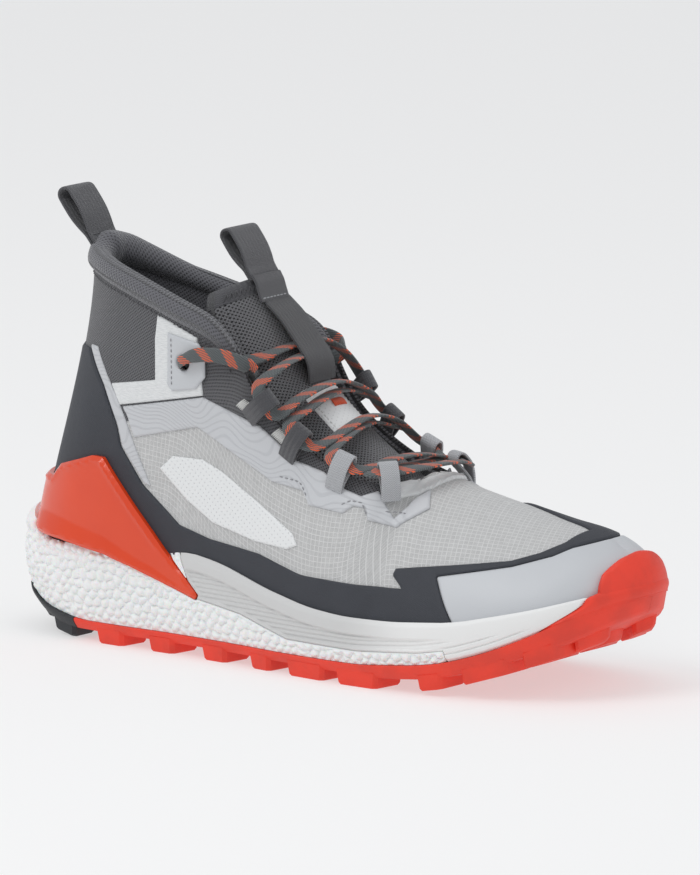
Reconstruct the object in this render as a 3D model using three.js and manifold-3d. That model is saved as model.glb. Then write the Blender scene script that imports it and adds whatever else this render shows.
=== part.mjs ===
// A mid-height hiking boot for the right foot, in millimetres.
// X runs forward to the toe, Y to the inner (medial) side of the foot and Z up.
import * as THREE from 'three';
import { mergeVertices } from 'three/addons/utils/BufferGeometryUtils.js';
import Module from 'manifold-3d';

const wasm = await Module();
wasm.setup();
const { Manifold, Mesh: SolidMesh } = wasm;

// ---------------------------------------------------------------- sizes ----
const bootLength = 306;            // heel foam to toe bumper
const bootWidth = 98;              // across the ball of the foot
const collarHeight = 164.5;        // ground to the back of the collar
const drawn = { length: 306, width: 98, height: 164.5 };   // the size that the tables below are drawn at

const clearance = 0.3;             // between pieces that touch
const upperThickness = 1.2;
const filmThickness = 0.8;
const stiffenerThickness = 1.1;
const liningThickness = 1.5;
const seatGap = 0.8;               // the upper's edge over the foot bed
const rimThickness = 2.2;
const clipThickness = 2.6;
const plateThickness = 3;
const lugDepth = 4.5;
const boardThickness = 2;
const sockThickness = 4.5;

// Layers are distances out from the lasted surface, each stacked on the one below.
const upperLayer = [0, upperThickness];
const filmLayer = [upperLayer[1] + clearance, upperLayer[1] + clearance + filmThickness];
const tabLayer = [filmLayer[1] + clearance, filmLayer[1] + clearance + filmThickness];
const clipLayer = [filmLayer[1] + clearance, filmLayer[1] + clearance + clipThickness];
const stiffenerLayer = [-clearance - stiffenerThickness, -clearance];
const liningLayer = [stiffenerLayer[0] - clearance - liningThickness, stiffenerLayer[0] - clearance];
const rimInset = filmLayer[1] + clearance;
const featherInset = rimInset + rimThickness;

// Every drawn point is graded to the size asked for.
const grade = ([x, y, z]) => new THREE.Vector3(
  (x * bootLength) / drawn.length,
  (y * bootWidth) / drawn.width,
  (z * collarHeight) / drawn.height,
);

// ------------------------------------------------------- the lasted shape ----
// Height of the foot bed and of the sole's other levels along the boot, as [x, z].
const bedLine = [[0, 36], [95, 36], [120, 34], [147, 28], [171, 24], [195, 22.5], [216, 23], [245, 26], [276, 32.5], [306, 43]];

function heightAlong(line, x) {
  const points = line.map(([px, pz]) => grade([px, 0, pz]));
  const last = points.length - 1;
  if (x <= points[0].x) return points[0].z;
  if (x >= points[last].x) return points[last].z;
  const k = points.findIndex((p) => p.x > x) - 1;
  const t = (x - points[k].x) / (points[k + 1].x - points[k].x);
  return THREE.MathUtils.lerp(points[k].z, points[k + 1].z, t);
}

// One row for each rib of the last, from the toe round to the heel:
// sole outline [x, y] on the outer and inner side, top line [x, y, z] on the outer and inner side,
// then how far the rib rises before it turns, how far it bulges there, and how it arrives at the top line.
const ribs = [
  { sole: [[306, 6], [306, 6]], top: [[288, 8, 57.5], [288, 8, 57.5]], rise: 11, bulge: 0, across: 7, drop: 1 },
  { sole: [[300.5, -14], [300.5, 25]], top: [[283, 8, 61], [283, 8, 61]], rise: 12, bulge: 1, across: 10, drop: 1 },
  { sole: [[288, -32], [288, 37.5]], top: [[273, 8, 64.5], [273, 8, 64.5]], rise: 14, bulge: 2, across: 16, drop: 1.5 },
  { sole: [[268, -43], [268, 44.5]], top: [[257, 7.5, 67], [257, 7.5, 67]], rise: 16, bulge: 2, across: 22, drop: 2 },
  { sole: [[244, -49], [244, 47]], top: [[237, 6, 71.5], [237, 6, 71.5]], rise: 19, bulge: 1.5, across: 25, drop: 2 },
  { sole: [[221, -51], [221, 47]], top: [[217, 5, 76.5], [217, 5, 76.5]], rise: 21, bulge: 1, across: 26, drop: 2.5 },
  { sole: [[207, -51], [207, 45.5]], top: [[203, 4, 81], [203, 4, 81]], rise: 22, bulge: 1, across: 26, drop: 3 },
  { sole: [[195, -50.5], [195, 43.5]], top: [[200, -14, 80.5], [201, 20, 77.5]], rise: 22, bulge: 1, across: 14, drop: 6 },
  { sole: [[184, -49.5], [184, 41.5]], top: [[193, -25, 79.5], [194, 26, 76.5]], rise: 23, bulge: 1, across: 8, drop: 8 },
  { sole: [[168, -47.5], [168, 38.5]], top: [[176, -29, 84], [176, 28, 82]], rise: 24, bulge: 1, across: 7, drop: 14 },
  { sole: [[150, -45], [150, 36]], top: [[158, -30, 93], [158, 28.5, 91.5]], rise: 26, bulge: 1, across: 6, drop: 20 },
  { sole: [[132, -42], [132, 34.5]], top: [[144, -31.5, 104], [144, 30, 102]], rise: 28, bulge: 1.5, across: 4, drop: 24 },
  { sole: [[116, -40], [116, 34]], top: [[134, -33.5, 117], [134, 32, 115]], rise: 30, bulge: 2, across: 2, drop: 28 },
  { sole: [[102, -38.5], [102, 34]], top: [[128, -35, 131], [128, 33.5, 125]], rise: 32, bulge: 3, across: 0, drop: 32 },
  { sole: [[88, -37.5], [88, 34.5]], top: [[117, -37, 143], [117, 35.5, 134]], rise: 33, bulge: 3, across: -1, drop: 34 },
  { sole: [[72, -37], [72, 35]], top: [[97, -36.5, 150.5], [97, 35, 141.5]], rise: 33, bulge: 3, across: -2, drop: 36 },
  { sole: [[54, -35.5], [54, 34]], top: [[77, -33, 156.5], [77, 32, 147.5]], rise: 32, bulge: 3, across: -2, drop: 38 },
  { sole: [[34, -31.5], [34, 30.5]], top: [[59, -26.5, 160.5], [59, 26, 153.5]], rise: 28, bulge: 3, across: -2, drop: 40 },
  { sole: [[18, -23.5], [18, 23]], top: [[44, -16, 163], [44, 16, 160]], rise: 22, bulge: 2, across: -2, drop: 40 },
  { sole: [[10, -11.5], [10, 11.5]], top: [[37, -7, 164], [37, 7, 163.5]], rise: 18, bulge: 1, across: -2, drop: 40 },
  { sole: [[8, 0], [8, 0]], top: [[35.5, 0, 164.5], [35.5, 0, 164.5]], rise: 16, bulge: 0, across: -2, drop: 40 },
];
const lastRib = ribs.length - 1;
const ridgeEnd = 6;                // ribs up to here meet on the ridge of the vamp
const outer = 0;
const inner = 1;

// A spline through a row of values; past each end the row carries on as the other side does.
const splineAt = (values, mirrored, u) => {
  const k = Math.min(Math.floor(u), values.length - 2);
  const t = u - k;
  const before = k > 0 ? values[k - 1] : mirrored[1];
  const after = k + 2 < values.length ? values[k + 2] : mirrored[mirrored.length - 2];
  const [a, b] = [values[k], values[k + 1]];
  return 0.5 * (2 * a + (b - before) * t + (2 * before - 5 * a + 4 * b - after) * t ** 2
    + (3 * a - before - 3 * b + after) * t ** 3);
};
const tableAt = (pick, side, size, u) => Array.from({ length: size }, (_, k) => splineAt(
  ribs.map((rib) => pick(rib, side)[k]), ribs.map((rib) => pick(rib, 1 - side)[k]), u));

// Square to the outline at the tip of the toe or the back of the heel.
function endNormal(u) {
  const next = ribs[u <= 0 ? 1 : lastRib - 1].sole.map(([x, y]) => grade([x, y, 0]));
  const across = next[inner].sub(next[outer]);
  return new THREE.Vector3(across.y, -across.x, 0).normalize().multiplyScalar(u <= 0 ? 1 : -1);
}

// The sole's outer outline at rib position u, moved out by `offset`.
function outlineAt(side, u, offset = 0, z = 0) {
  const at = (v) => {
    const [x, y] = tableAt((rib, at) => rib.sole[at], side, 2, v);
    return grade([x, y, 0]);
  };
  const here = at(u);
  const step = 0.02;
  const way = at(Math.min(u + step, lastRib)).sub(at(Math.max(u - step, 0)));
  const sign = side === outer ? 1 : -1;
  const out = new THREE.Vector3(way.y, -way.x, 0).normalize().multiplyScalar(-sign);
  if (u <= 0 || u >= lastRib) out.copy(endNormal(u));
  return here.addScaledVector(out, offset).setZ(z);
}

// A point on the lasted surface: u counts ribs from the toe, r goes from the sole (0) to the top line (1).
function lastPoint(side, u, r) {
  const foot = outlineAt(side, u, -featherInset);
  foot.z = heightAlong(bedLine, foot.x) + seatGap;
  const topOf = (which) => grade(tableAt((rib, at) => rib.top[at], which, 3, u));
  const top = topOf(side);
  if (u < ridgeEnd) top.add(topOf(1 - side)).divideScalar(2);
  const [rise, bulge, across, drop] = tableAt((rib) => [rib.rise, rib.bulge, rib.across, rib.drop], side, 4, u);
  const out = outlineAt(side, u, 1).sub(outlineAt(side, u, 0)).setZ(0);
  const outTop = foot.clone().sub(top).setZ(0).normalize();
  if (u > ridgeEnd + 1) outTop.copy(out);
  const low = foot.clone().addScaledVector(out, bulge);
  low.z += rise;
  const high = top.clone().addScaledVector(outTop, across);
  high.z -= drop;
  return new THREE.CubicBezierCurve3(foot, low, high, top).getPoint(r);
}

// ------------------------------------------------------------- solid tools ----
// A closed solid from points and faces: repeated points are merged and empty faces dropped.
function solidFrom(points, faces) {
  const geometry = new THREE.BufferGeometry();
  geometry.setAttribute('position', new THREE.Float32BufferAttribute(points.flatMap((p) => [p.x, p.y, p.z]), 3));
  geometry.setIndex(faces.flat());
  return solidOf(geometry);
}

function solidOf(geometry) {
  geometry.deleteAttribute('normal');
  geometry.deleteAttribute('uv');
  const merged = mergeVertices(geometry, 1e-3);
  const at = merged.attributes.position.array;
  const point = (k) => new THREE.Vector3().fromArray(at, 3 * k);
  const triangles = [];
  for (let k = 0; k < merged.index.count; k += 3) {
    const [a, b, c] = [0, 1, 2].map((d) => merged.index.getX(k + d));
    if (a !== b && b !== c && c !== a) triangles.push([a, b, c]);
  }
  const volume = triangles.reduce((sum, [a, b, c]) => sum + point(a).dot(point(b).cross(point(c))), 0);
  const outward = volume < 0 ? triangles.map(([a, b, c]) => [a, c, b]) : triangles;
  return new Manifold(new SolidMesh({
    numProp: 3, vertProperties: new Float32Array(at), triVerts: new Uint32Array(outward.flat()),
  }));
}

function geometryOf(solid) {
  const mesh = solid.getMesh();
  const geometry = new THREE.BufferGeometry();
  geometry.setAttribute('position', new THREE.BufferAttribute(new Float32Array(mesh.vertProperties), 3));
  geometry.setIndex(new THREE.BufferAttribute(new Uint32Array(mesh.triVerts), 1));
  geometry.computeVertexNormals();
  return geometry;
}

const join = (...solids) => solids.reduce((all, one) => all.add(one));
const quad = (a, b, c, d) => [[a, b, c], [a, c, d]];

// Skins a row of rings. A ring runs out along one side and back along the other,
// so each end is closed by a strip that ties point k to the point opposite it.
function skin(rings) {
  const count = rings[0].length;
  const last = (rings.length - 1) * count;
  const faces = [];
  for (let ring = 0; ring < rings.length - 1; ring += 1) {
    for (let k = 0; k < count; k += 1) {
      const next = (k + 1) % count;
      const base = ring * count;
      faces.push(...quad(base + k, base + next, base + count + next, base + count + k));
    }
  }
  for (let k = 0; k < count / 2 - 1; k += 1) {
    const back = count - 1 - k;
    faces.push(...quad(k, back, back - 1, k + 1));
    faces.push(...quad(last + k, last + k + 1, last + back - 1, last + back));
  }
  return solidFrom(rings.flat(), faces);
}

// A prism across the boot from a side-view outline of [x, z] points, between two Y values.
const farSide = 90;
function sidePrism(outline, yFrom = -farSide, yTo = farSide) {
  const shape = new THREE.Shape(outline.map(([x, z]) => {
    const p = grade([x, 0, z]);
    return new THREE.Vector2(p.x, p.z);
  }));
  const geometry = new THREE.ExtrudeGeometry(shape, { depth: yTo - yFrom, bevelEnabled: false });
  geometry.rotateX(Math.PI / 2).translate(0, yTo, 0);
  return solidOf(geometry);
}
const outerSide = (outline) => sidePrism(outline, -farSide, -1);
const innerSide = (outline) => sidePrism(outline, 1, farSide);

// Places a solid by its own axes: along, up and across.
function placed(geometry, origin, xAxis, yAxis, zAxis) {
  const matrix = new THREE.Matrix4().makeBasis(xAxis, yAxis, zAxis).setPosition(origin);
  return solidOf(geometry.clone().applyMatrix4(matrix));
}

// --------------------------------------------------- shells of the last ----
const rowCount = 6;
const countUp = (from, to, step) => Array.from({ length: Math.round((to - from) / step) + 1 }, (_, k) => from + k * step);
const stations = [...countUp(0, 3, 0.5), ...countUp(4, 16, 1), ...countUp(16.5, lastRib, 0.5)];
const roundTheLast = [
  ...stations.map((u) => [outer, u]),
  ...stations.slice(1, -1).reverse().map((u) => [inner, u]),
];

// The lasted surface as points and faces; `below` adds rows that carry it straight down past the sole's top.
function lastSurface(below = []) {
  const columns = roundTheLast.map(([side, u]) => {
    const foot = lastPoint(side, u, 0);
    const lower = below.map((depth) => foot.clone().setZ(foot.z - depth));
    const upper = Array.from({ length: rowCount + 1 }, (_, row) => lastPoint(side, u, row / rowCount));
    return [...lower, ...upper];
  });
  const rows = columns[0].length;
  const keys = new Map();
  const points = [];
  const idOf = (p) => {
    const key = p.toArray().map((v) => v.toFixed(3)).join();
    if (!keys.has(key)) {
      keys.set(key, points.length);
      points.push(p);
    }
    return keys.get(key);
  };
  const ids = columns.map((column) => column.map(idOf));
  const faces = [];
  ids.forEach((column, s) => {
    const next = ids[(s + 1) % ids.length];
    for (let row = 0; row < rows - 1; row += 1) {
      faces.push(...quad(column[row], column[row + 1], next[row + 1], next[row])
        .filter(([a, b, c]) => a !== b && b !== c && c !== a));
    }
  });
  const normals = points.map(() => new THREE.Vector3());
  faces.forEach(([a, b, c]) => {
    const normal = points[b].clone().sub(points[a]).cross(points[c].clone().sub(points[a]));
    [a, b, c].forEach((k) => normals[k].add(normal));
  });
  normals.forEach((normal) => normal.normalize());
  return { points, faces, normals };
}

// A closed shell between two distances out from the lasted surface.
function shell({ points, faces, normals }, [near, far]) {
  const shift = (distance) => points.map((p, k) => p.clone().addScaledVector(normals[k], distance));
  const count = points.length;
  const edges = new Map();
  faces.forEach(([a, b, c]) => [[a, b], [b, c], [c, a]].forEach(([p, q]) => edges.set(`${p},${q}`, [p, q])));
  const walls = [...edges.values()].filter(([p, q]) => !edges.has(`${q},${p}`))
    .flatMap(([p, q]) => quad(q, p, p + count, q + count));
  return solidFrom(
    [...shift(far), ...shift(near)],
    [...faces, ...faces.map(([a, b, c]) => [c + count, b + count, a + count]), ...walls],
  );
}

const last = lastSurface();
const lastAndWall = lastSurface([14, 9, 4]);

// ------------------------------------------------------------- flex line ----
const flexX = 226;
const flexZ = 24;
const flexHalfAngle = THREE.MathUtils.degToRad(12.5);
const beyond = 400;
const lean = beyond * Math.tan(flexHalfAngle);
const behindFlex = sidePrism([[-beyond, -beyond], [flexX - clearance / 2, -beyond], [flexX - clearance / 2, flexZ],
  [flexX - lean, flexZ + beyond], [-beyond, flexZ + beyond]]);
const aheadOfFlex = sidePrism([[beyond, -beyond], [flexX + clearance / 2, -beyond], [flexX + clearance / 2, flexZ],
  [flexX + lean, flexZ + beyond], [beyond, flexZ + beyond]]);
const apex = 3;                    // the wedge starts this far above the flex axis
const apexWidth = apex * Math.tan(flexHalfAngle) - clearance;
const inFlex = sidePrism([[flexX - apexWidth, flexZ + apex], [flexX + apexWidth, flexZ + apex],
  [flexX + lean - clearance, flexZ + beyond], [flexX - lean + clearance, flexZ + beyond]]);

// ------------------------------------------------------------------ sole ----
const groundLine = [[0, 16], [8, 11], [16, 7], [28, 2.5], [40, 0], [212, 0], [234, 2], [250, 6], [263, 10], [279, 16],
  [293, 22], [306, 31]];
const rubberLine = [[0, 26], [10, 20], [25, 13], [46, 9], [162, 9], [200, 9.5], [230, 12.5], [243, 15], [260, 20.5], [277, 28],
  [291, 36], [306, 42]];
const rimLine = [[0, 52], [13, 49], [22, 41], [60, 40], [92, 42], [104, 44.5], [122, 42], [147, 35], [171, 30], [191, 28.5],
  [216, 29], [245, 31.5], [276, 38.5], [306, 47]];

// A level ring of the sole: heights come from the place along the boot, and the foam swells round the heel.
const heelSwell = 6;
const swellFrom = 15.5;
const soleRing = (offset, heightAt, swell = 0) => {
  const ringPoint = (side) => (u) => {
    const round = THREE.MathUtils.smoothstep(u, swellFrom, lastRib - 1) * swell * heelSwell;
    const p = outlineAt(side, u, offset + round);
    return p.setZ(heightAt(p.x));
  };
  return [...stations.map(ringPoint(outer)), ...[...stations].reverse().map(ringPoint(inner))];
};
const ground = (x) => heightAlong(groundLine, x);
const rubberTop = (x) => heightAlong(rubberLine, x);
const plateBottom = (x) => ground(x) + lugDepth;
const plateTop = (x) => plateBottom(x) + plateThickness;
const bed = (x) => heightAlong(bedLine, x);
const rimTop = (x) => Math.max(heightAlong(rimLine, x), bed(x) + clearance + 3);
const wallThickness = 2;

// Everything between the outsole and the foot: a slab with a rim round it.
function midsoleBlank(bottomAt) {
  const ledge = (x) => Math.min(rubberTop(x) + clearance, bed(x) - 1);
  const bulge = (x) => THREE.MathUtils.lerp(ledge(x), rimTop(x), 0.4);
  return skin([
    soleRing(-wallThickness - 2 * clearance, bottomAt),
    soleRing(-wallThickness - clearance, ledge),
    soleRing(-0.4, (x) => ledge(x) + 0.01, 0.5),
    soleRing(0.8, bulge, 1),
    soleRing(-0.3, rimTop, 0.25),
    soleRing(-rimThickness, rimTop),
    soleRing(-rimThickness, bed),
  ]);
}

// Room for the upper and what is on it.
const footSpace = shell(last, [-8, rimInset]);

const outsoleBlank = skin([
  soleRing(-4, plateBottom, 0.2),
  soleRing(-0.8, (x) => plateBottom(x) + 1.5, 0.3),
  soleRing(0.3, rubberTop, 0.5),
  soleRing(-wallThickness, rubberTop, 0.4),
  soleRing(-wallThickness, plateTop, 0.4),
]);

// A lug: a tapered block from just inside the plate down to the ground, its outline given as [x, y].
const lugTaper = 1.2;
function lug(outline) {
  const corners = outline.map(([x, y]) => grade([x, y, 0]));
  const centre = corners.reduce((sum, p) => sum.add(p), new THREE.Vector3()).divideScalar(corners.length);
  const foot = corners.map((p) => {
    const toCentre = centre.clone().sub(p).setLength(lugTaper);
    return p.clone().add(toCentre).setZ(ground(p.x));
  });
  const root = corners.map((p) => p.clone().setZ(plateBottom(p.x) + 1.6));
  return skin([foot, root]);
}

// Edge lugs as [from, to] along the boot; each reaches in from the outline.
const outerLugs = [[55, 70], [83, 97], [112, 126], [139, 151], [160, 181], [187, 209], [228, 240], [248, 268], [273, 285]];
const innerLugs = [[56, 71], [84, 98], [112, 126], [138, 151], [161, 180], [187, 208], [229, 242], [250, 267], [273, 285]];
const lugReach = 17;
const edgeY = (side, x) => {
  const target = grade([x, 0, 0]).x;
  const u = stations.reduce((best, v) => (
    Math.abs(outlineAt(side, v).x - target) < Math.abs(outlineAt(side, best).x - target) ? v : best), 0);
  return (outlineAt(side, u).y * drawn.width) / bootWidth;
};
function edgeLug(side, [from, to]) {
  const sign = side === outer ? -1 : 1;
  const skew = 3;
  const edge = [from, to].map((x) => Math.abs(edgeY(side, x)) - 1);
  return lug([[from, sign * edge[0]], [to, sign * edge[1]],
    [to + skew, sign * (edge[1] - lugReach)], [from + skew, sign * (edge[0] - lugReach)]]);
}
const chevron = (x, halfWidth, length) => [
  lug([[x, -halfWidth], [x + length, -halfWidth], [x + length + 4, 1], [x + 4, 1]]),
  lug([[x + 4, -1], [x + length + 4, -1], [x + length, halfWidth], [x, halfWidth]]),
];
const chevrons = [[62, 12], [92, 13], [121, 15], [149, 18], [176, 20], [198, 21], [237, 19], [258, 15]];
const heelLugs = [
  [[9, -14], [22, -22], [25, -10], [12, -5]], [[9, 14], [22, 22], [25, 10], [12, 5]],
  [[28, -29], [42, -32], [43, -16], [29, -14]], [[28, 29], [42, 31], [43, 16], [29, 14]],
  [[30, -9], [42, -9], [42, 9], [30, 9]],
];
const toeLugs = [
  [[289, -25], [299, -11], [291, -5], [282, -14]], [[289, 34], [299, 22], [291, 15], [282, 24]],
  [[281, -6], [290, -2], [290, 12], [281, 16]],
];
const heelEnd = 44;
const inHeel = sidePrism([[-beyond, -beyond], [heelEnd, -beyond], [heelEnd, beyond], [-beyond, beyond]]);
const pastHeel = sidePrism([[heelEnd + clearance, -beyond], [beyond, -beyond], [beyond, beyond], [heelEnd + clearance, beyond]]);
const allLugs = [
  ...outerLugs.map((span) => edgeLug(outer, span)),
  ...innerLugs.map((span) => edgeLug(inner, span)),
  ...chevrons.flatMap(([x, halfWidth]) => chevron(x, halfWidth, 9)),
  ...toeLugs.map(lug),
];
const outsoleHeel = join(outsoleBlank.intersect(inHeel), ...heelLugs.map(lug));
const redRubber = join(outsoleBlank.intersect(pastHeel), ...allLugs);

// The toe bumper: rubber from the outsole up over the front of the toe.
const bumperStart = 294;
const bumperOutline = [[bumperStart, -20], [bumperStart - 1, 44], [bumperStart - 1.5, 50], [bumperStart, 54],
  [bumperStart + 3, 57.5], [bumperStart + 30, 61], [bumperStart + 30, -20]];
const bumperLayer = [clipLayer[0], clipLayer[1] + 0.6];
const blockStart = bumperStart - 1.5;
const toeBlock = midsoleBlank((x) => plateBottom(x) + 1).subtract(footSpace).intersect(
  sidePrism([[blockStart, 0], [blockStart + 30, 0], [blockStart + 30, 90], [blockStart, 90]]));
const toeBumper = shell(lastAndWall, bumperLayer).intersect(sidePrism(bumperOutline));

// Side-view line between the grey frame above and the bead foam below.
const foamEnd = 243;
const foamLine = [[84, 75], [109, 25.5], [135, 22], [161, 15], [199, 15], [230, 17.5], [foamEnd - 2, 19.5], [foamEnd, 12], [foamEnd, -20]];
const raised = (line, dx, dz) => line.map(([x, z]) => [x + dx, z + dz]);
const inFoam = sidePrism([[-30, -20], [-30, 75], ...foamLine]);
const inFrame = sidePrism([[blockStart - clearance, 75], ...raised(foamLine, clearance, clearance),
  [blockStart - clearance, -20]]);

// The heel clip grips the heel over the foam, in a pocket cut for it.
const clipOutline = [[55, 79.5], [35, 72.5], [29, 66.5], [-30, 65], [-30, 46], [17, 43], [38, 42.5], [62, 39.5],
  [88, 31.5], [110, 25], [111, 27], [93, 44], [61, 79.5]];
const pocketOutline = [[55, 80], [34, 73], [29, 67], [-30, 65.5], [-30, 45.6], [17, 42.6], [38, 42.1], [62, 39.1],
  [88, 31.1], [110, 24.4], [111.8, 27], [93.6, 44.4], [61.4, 80]];
const heelClip = shell(lastAndWall, clipLayer).intersect(sidePrism(clipOutline));
const pocketNear = clipLayer[0] - clearance;
const foamBehind = 17;             // behind here the foam also wraps the outside of the clip
const clipPocket = join(
  shell(lastAndWall, [pocketNear, clipLayer[1] + clearance]).intersect(sidePrism(pocketOutline)),
  shell(lastAndWall, [pocketNear, clipLayer[1] + 20]).intersect(sidePrism(pocketOutline))
    .intersect(sidePrism([[foamBehind, 0], [beyond, 0], [beyond, beyond], [foamBehind, beyond]])),
);
const midsole = midsoleBlank((x) => plateTop(x) + clearance).subtract(clipPocket).subtract(footSpace);
const foam = midsole.intersect(inFoam);
const frame = midsole.intersect(inFrame);


// ----------------------------------------------------------------- upper ----
// Along the top line: where it is, which way it runs to the heel, out of the surface, and in towards the foot.
function edgeFrame(side, u, r = 1) {
  const step = 0.01;
  const at = lastPoint(side, u, r);
  const along = lastPoint(side, Math.min(u + step, lastRib), r).sub(lastPoint(side, Math.max(u - step, 0), r)).normalize();
  const rise = lastPoint(side, u, Math.min(r + step, 1)).sub(lastPoint(side, u, r - step)).normalize();
  const out = along.clone().cross(rise).multiplyScalar(side === outer ? -1 : 1).normalize();
  const inward = rise.clone().addScaledVector(along, -rise.dot(along)).normalize();
  return { at, along, out, inward };
}

// The padded collar roll follows the top line from one front corner round the heel to the other.
const rollFrom = 13;
const rollHeight = 9;
const rollWidth = 9.5;
const rollSides = 10;
function collarRing([side, u], width, low, high) {
  const { at, out } = edgeFrame(side, u);
  const level = out.setZ(0).normalize();
  const taper = THREE.MathUtils.lerp(0.55, 1, THREE.MathUtils.smoothstep(u, rollFrom, rollFrom + 2));
  const middle = at.clone();
  middle.z += (low + high) / 2;
  return Array.from({ length: rollSides }, (_, k) => {
    const angle = Math.PI * ((2 * k + 1) / rollSides);
    const p = middle.clone().addScaledVector(level, (-Math.cos(angle) * width * taper) / 2 - 1);
    return p.setZ(p.z + (Math.sin(angle) * (high - low)) / 2);
  });
}
const roundTheCollar = [
  ...stations.filter((u) => u >= rollFrom).map((u) => [outer, u]),
  ...stations.filter((u) => u >= rollFrom && u < lastRib).reverse().map((u) => [inner, u]),
];
const collarRoll = skin(roundTheCollar.map((place) => collarRing(place, rollWidth, -rollHeight, 0)));
const collarSpace = skin(roundTheCollar.map((place) => collarRing(place, rollWidth + 7, -rollHeight - clearance - 0.4, 8)));

// Eyelet holes go through every layer near the top of the lacing.
const eyelet = { x: 104, z: 124, radius: 3.2 };
function eyeletHole(side) {
  const bore = new THREE.CylinderGeometry(eyelet.radius, eyelet.radius, farSide, 12);
  const at = grade([eyelet.x, (side === outer ? -1 : 1) * (farSide / 2 + 10), eyelet.z]);
  return solidOf(bore.translate(at.x, at.y, at.z));
}
const eyeletHoles = join(eyeletHole(outer), eyeletHole(inner));

const shaftOutline = [[-60, 95], [66, 94.5], [112, 104], [140, 95], [156, 83], [170, 79.5], [182, 74], [188, 72.5],
  [197, 75], [201, 79], [201, 200], [-60, 200]];
const inShaft = sidePrism(shaftOutline);
const belowShaft = sidePrism([[-60, -beyond], [beyond, -beyond], [beyond, 200], [201 + clearance, 200],
  [201 + clearance, 78.7], [197.2, 74.7], [188, 72.1], [181.8, 73.7], [169.8, 79.2], [155.8, 82.7], [139.8, 94.7],
  [112, 103.7], [66, 94.2], [-60, 94.7]]);
const upperShell = shell(last, upperLayer).subtract(collarSpace).subtract(eyeletHoles);
const shaftPanel = upperShell.intersect(inShaft);
const lowerUpper = upperShell.intersect(belowShaft);

// The lining stops short of the collar roll; the stiffeners sit between it and the upper.
const lining = shell(last, liningLayer).subtract(collarSpace).subtract(eyeletHoles);
const stiffener = shell(last, stiffenerLayer);
const heelCounter = stiffener.intersect(sidePrism([[-30, 38], [92, 38], [80, 58], [60, 78], [40, 92], [-30, 92]]));
const toePuff = stiffener.intersect(sidePrism([[262, 40], [259, 56], [272, 68], [beyond, 68], [beyond, 40]]));

// Outer skins, all in the film layer and apart from each other in side view.
const filmShell = shell(last, filmLayer).subtract(collarSpace).subtract(eyeletHoles);
const tabShell = shell(last, tabLayer).subtract(collarSpace).subtract(eyeletHoles);
const bandWindow = sidePrism([[-60, 122.3], [45, 122.3], [57, 109], [66.5, 93], [69, 85], [81, 70], [100, 55], [116, 51],
  [143, 48], [166, 42], [195, 41], [217, 41.3], [211, 46], [211.5, 48.5], [259, 54.3], [268, 57.2], [273, 60],
  [277, 62.5], [277, 200], [-60, 200]]);
const topPrism = (outline) => {
  const shape = new THREE.Shape(outline.map(([x, y]) => {
    const p = grade([x, y, 0]);
    return new THREE.Vector2(p.x, p.y);
  }));
  return solidOf(new THREE.ExtrudeGeometry(shape, { depth: beyond, bevelEnabled: false }));
};
const aheadOfBand = topPrism([[276, 6], [271.5, -25], [beyond, -25], [beyond, 60], [214, 60], [214, 37],
  [228, 24], [243, 15]]);
const toeRegion = ([[tipX, tipZ], grow]) => join(
  sidePrism([[tipX, tipZ], [233, 47.2 + grow], [261, 52.3 + grow], [274 - grow, 56.3 + grow], [278.5 - grow, 59 + grow],
    [289 - grow, 62 + grow], [290 - grow, 90], [beyond, 90], [beyond, 20], [243 - grow, 20], [243 - grow, 31]]),
  topPrism([[288 - grow, 8], [277.5 - grow, -24], [beyond, -24], [beyond, 40], [280 - grow, 36], [276 - grow, 30]])
    .intersect(sidePrism([[250, 58], [beyond, 58], [beyond, 90], [250, 90]])),
);
const toeFilm = filmShell.subtract(upperShell.translate([0, 0, 2 * clearance])).intersect(toeRegion([[231.6, 46.8], 0]));
const mudguard = filmShell.subtract(bandWindow.subtract(aheadOfBand)).subtract(toeRegion([[229, 46.3], 0.5]));

const stripOutline = [[46, 124], [51, 124], [58, 115], [65.5, 105.5], [71, 97], [76.5, 86], [85, 70], [82, 70.6],
  [69.8, 85], [67.2, 93.2], [57.6, 109.4], [46, 122.8]];
const ankleOutline = [[91, 150], [109, 150], [111, 131], [113, 111], [68, 102.2], [62.5, 110.5], [88, 115], [88, 133]];
const eyestayOutline = [[72.5, 98], [69.5, 101.7], [113, 110.3], [139, 100.6], [156, 87.5], [170, 83.5], [180, 77.5], [188, 75],
  [196, 78], [199, 80], [205, 80], [213, 70], [204, 63], [193, 66], [191, 70.5], [186, 71], [182, 68], [166, 70], [162, 75.5],
  [147, 78], [110, 97.5], [78, 90], [76.5, 89.5]];
const panelOutline = [[90, 78], [97, 84], [112, 84], [122, 80], [160, 58], [163, 53.5], [158, 51.5], [140, 53], [118, 58],
  [104, 66]];
const tackOutlines = [
  [[129.5, 108.6], [131.3, 110.8], [140.5, 104.2], [138.7, 102]],
  [[145.2, 97.4], [147, 99.6], [156.8, 92.2], [155, 90]],
];
const tabOutline = [[96, 136], [112, 133], [115, 129], [115, 119], [110, 113.5], [98, 111.5], [95.5, 114]];
const throatStrip = topPrism([[194.5, -25.5], [202, -6], [204.6, 4], [204.6, 12], [196, 26], [202.5, 26], [209.5, 12],
  [209.5, 2], [208, -8], [201, -26]]);
const stripSpace = topPrism([[193.5, -26.5], [201, -6], [203, 4], [203, 12], [194, 27], [203.5, 27], [210.2, 12.3],
  [210.2, 1.8], [208.7, -8.3], [201.5, -26.8]]);

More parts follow.
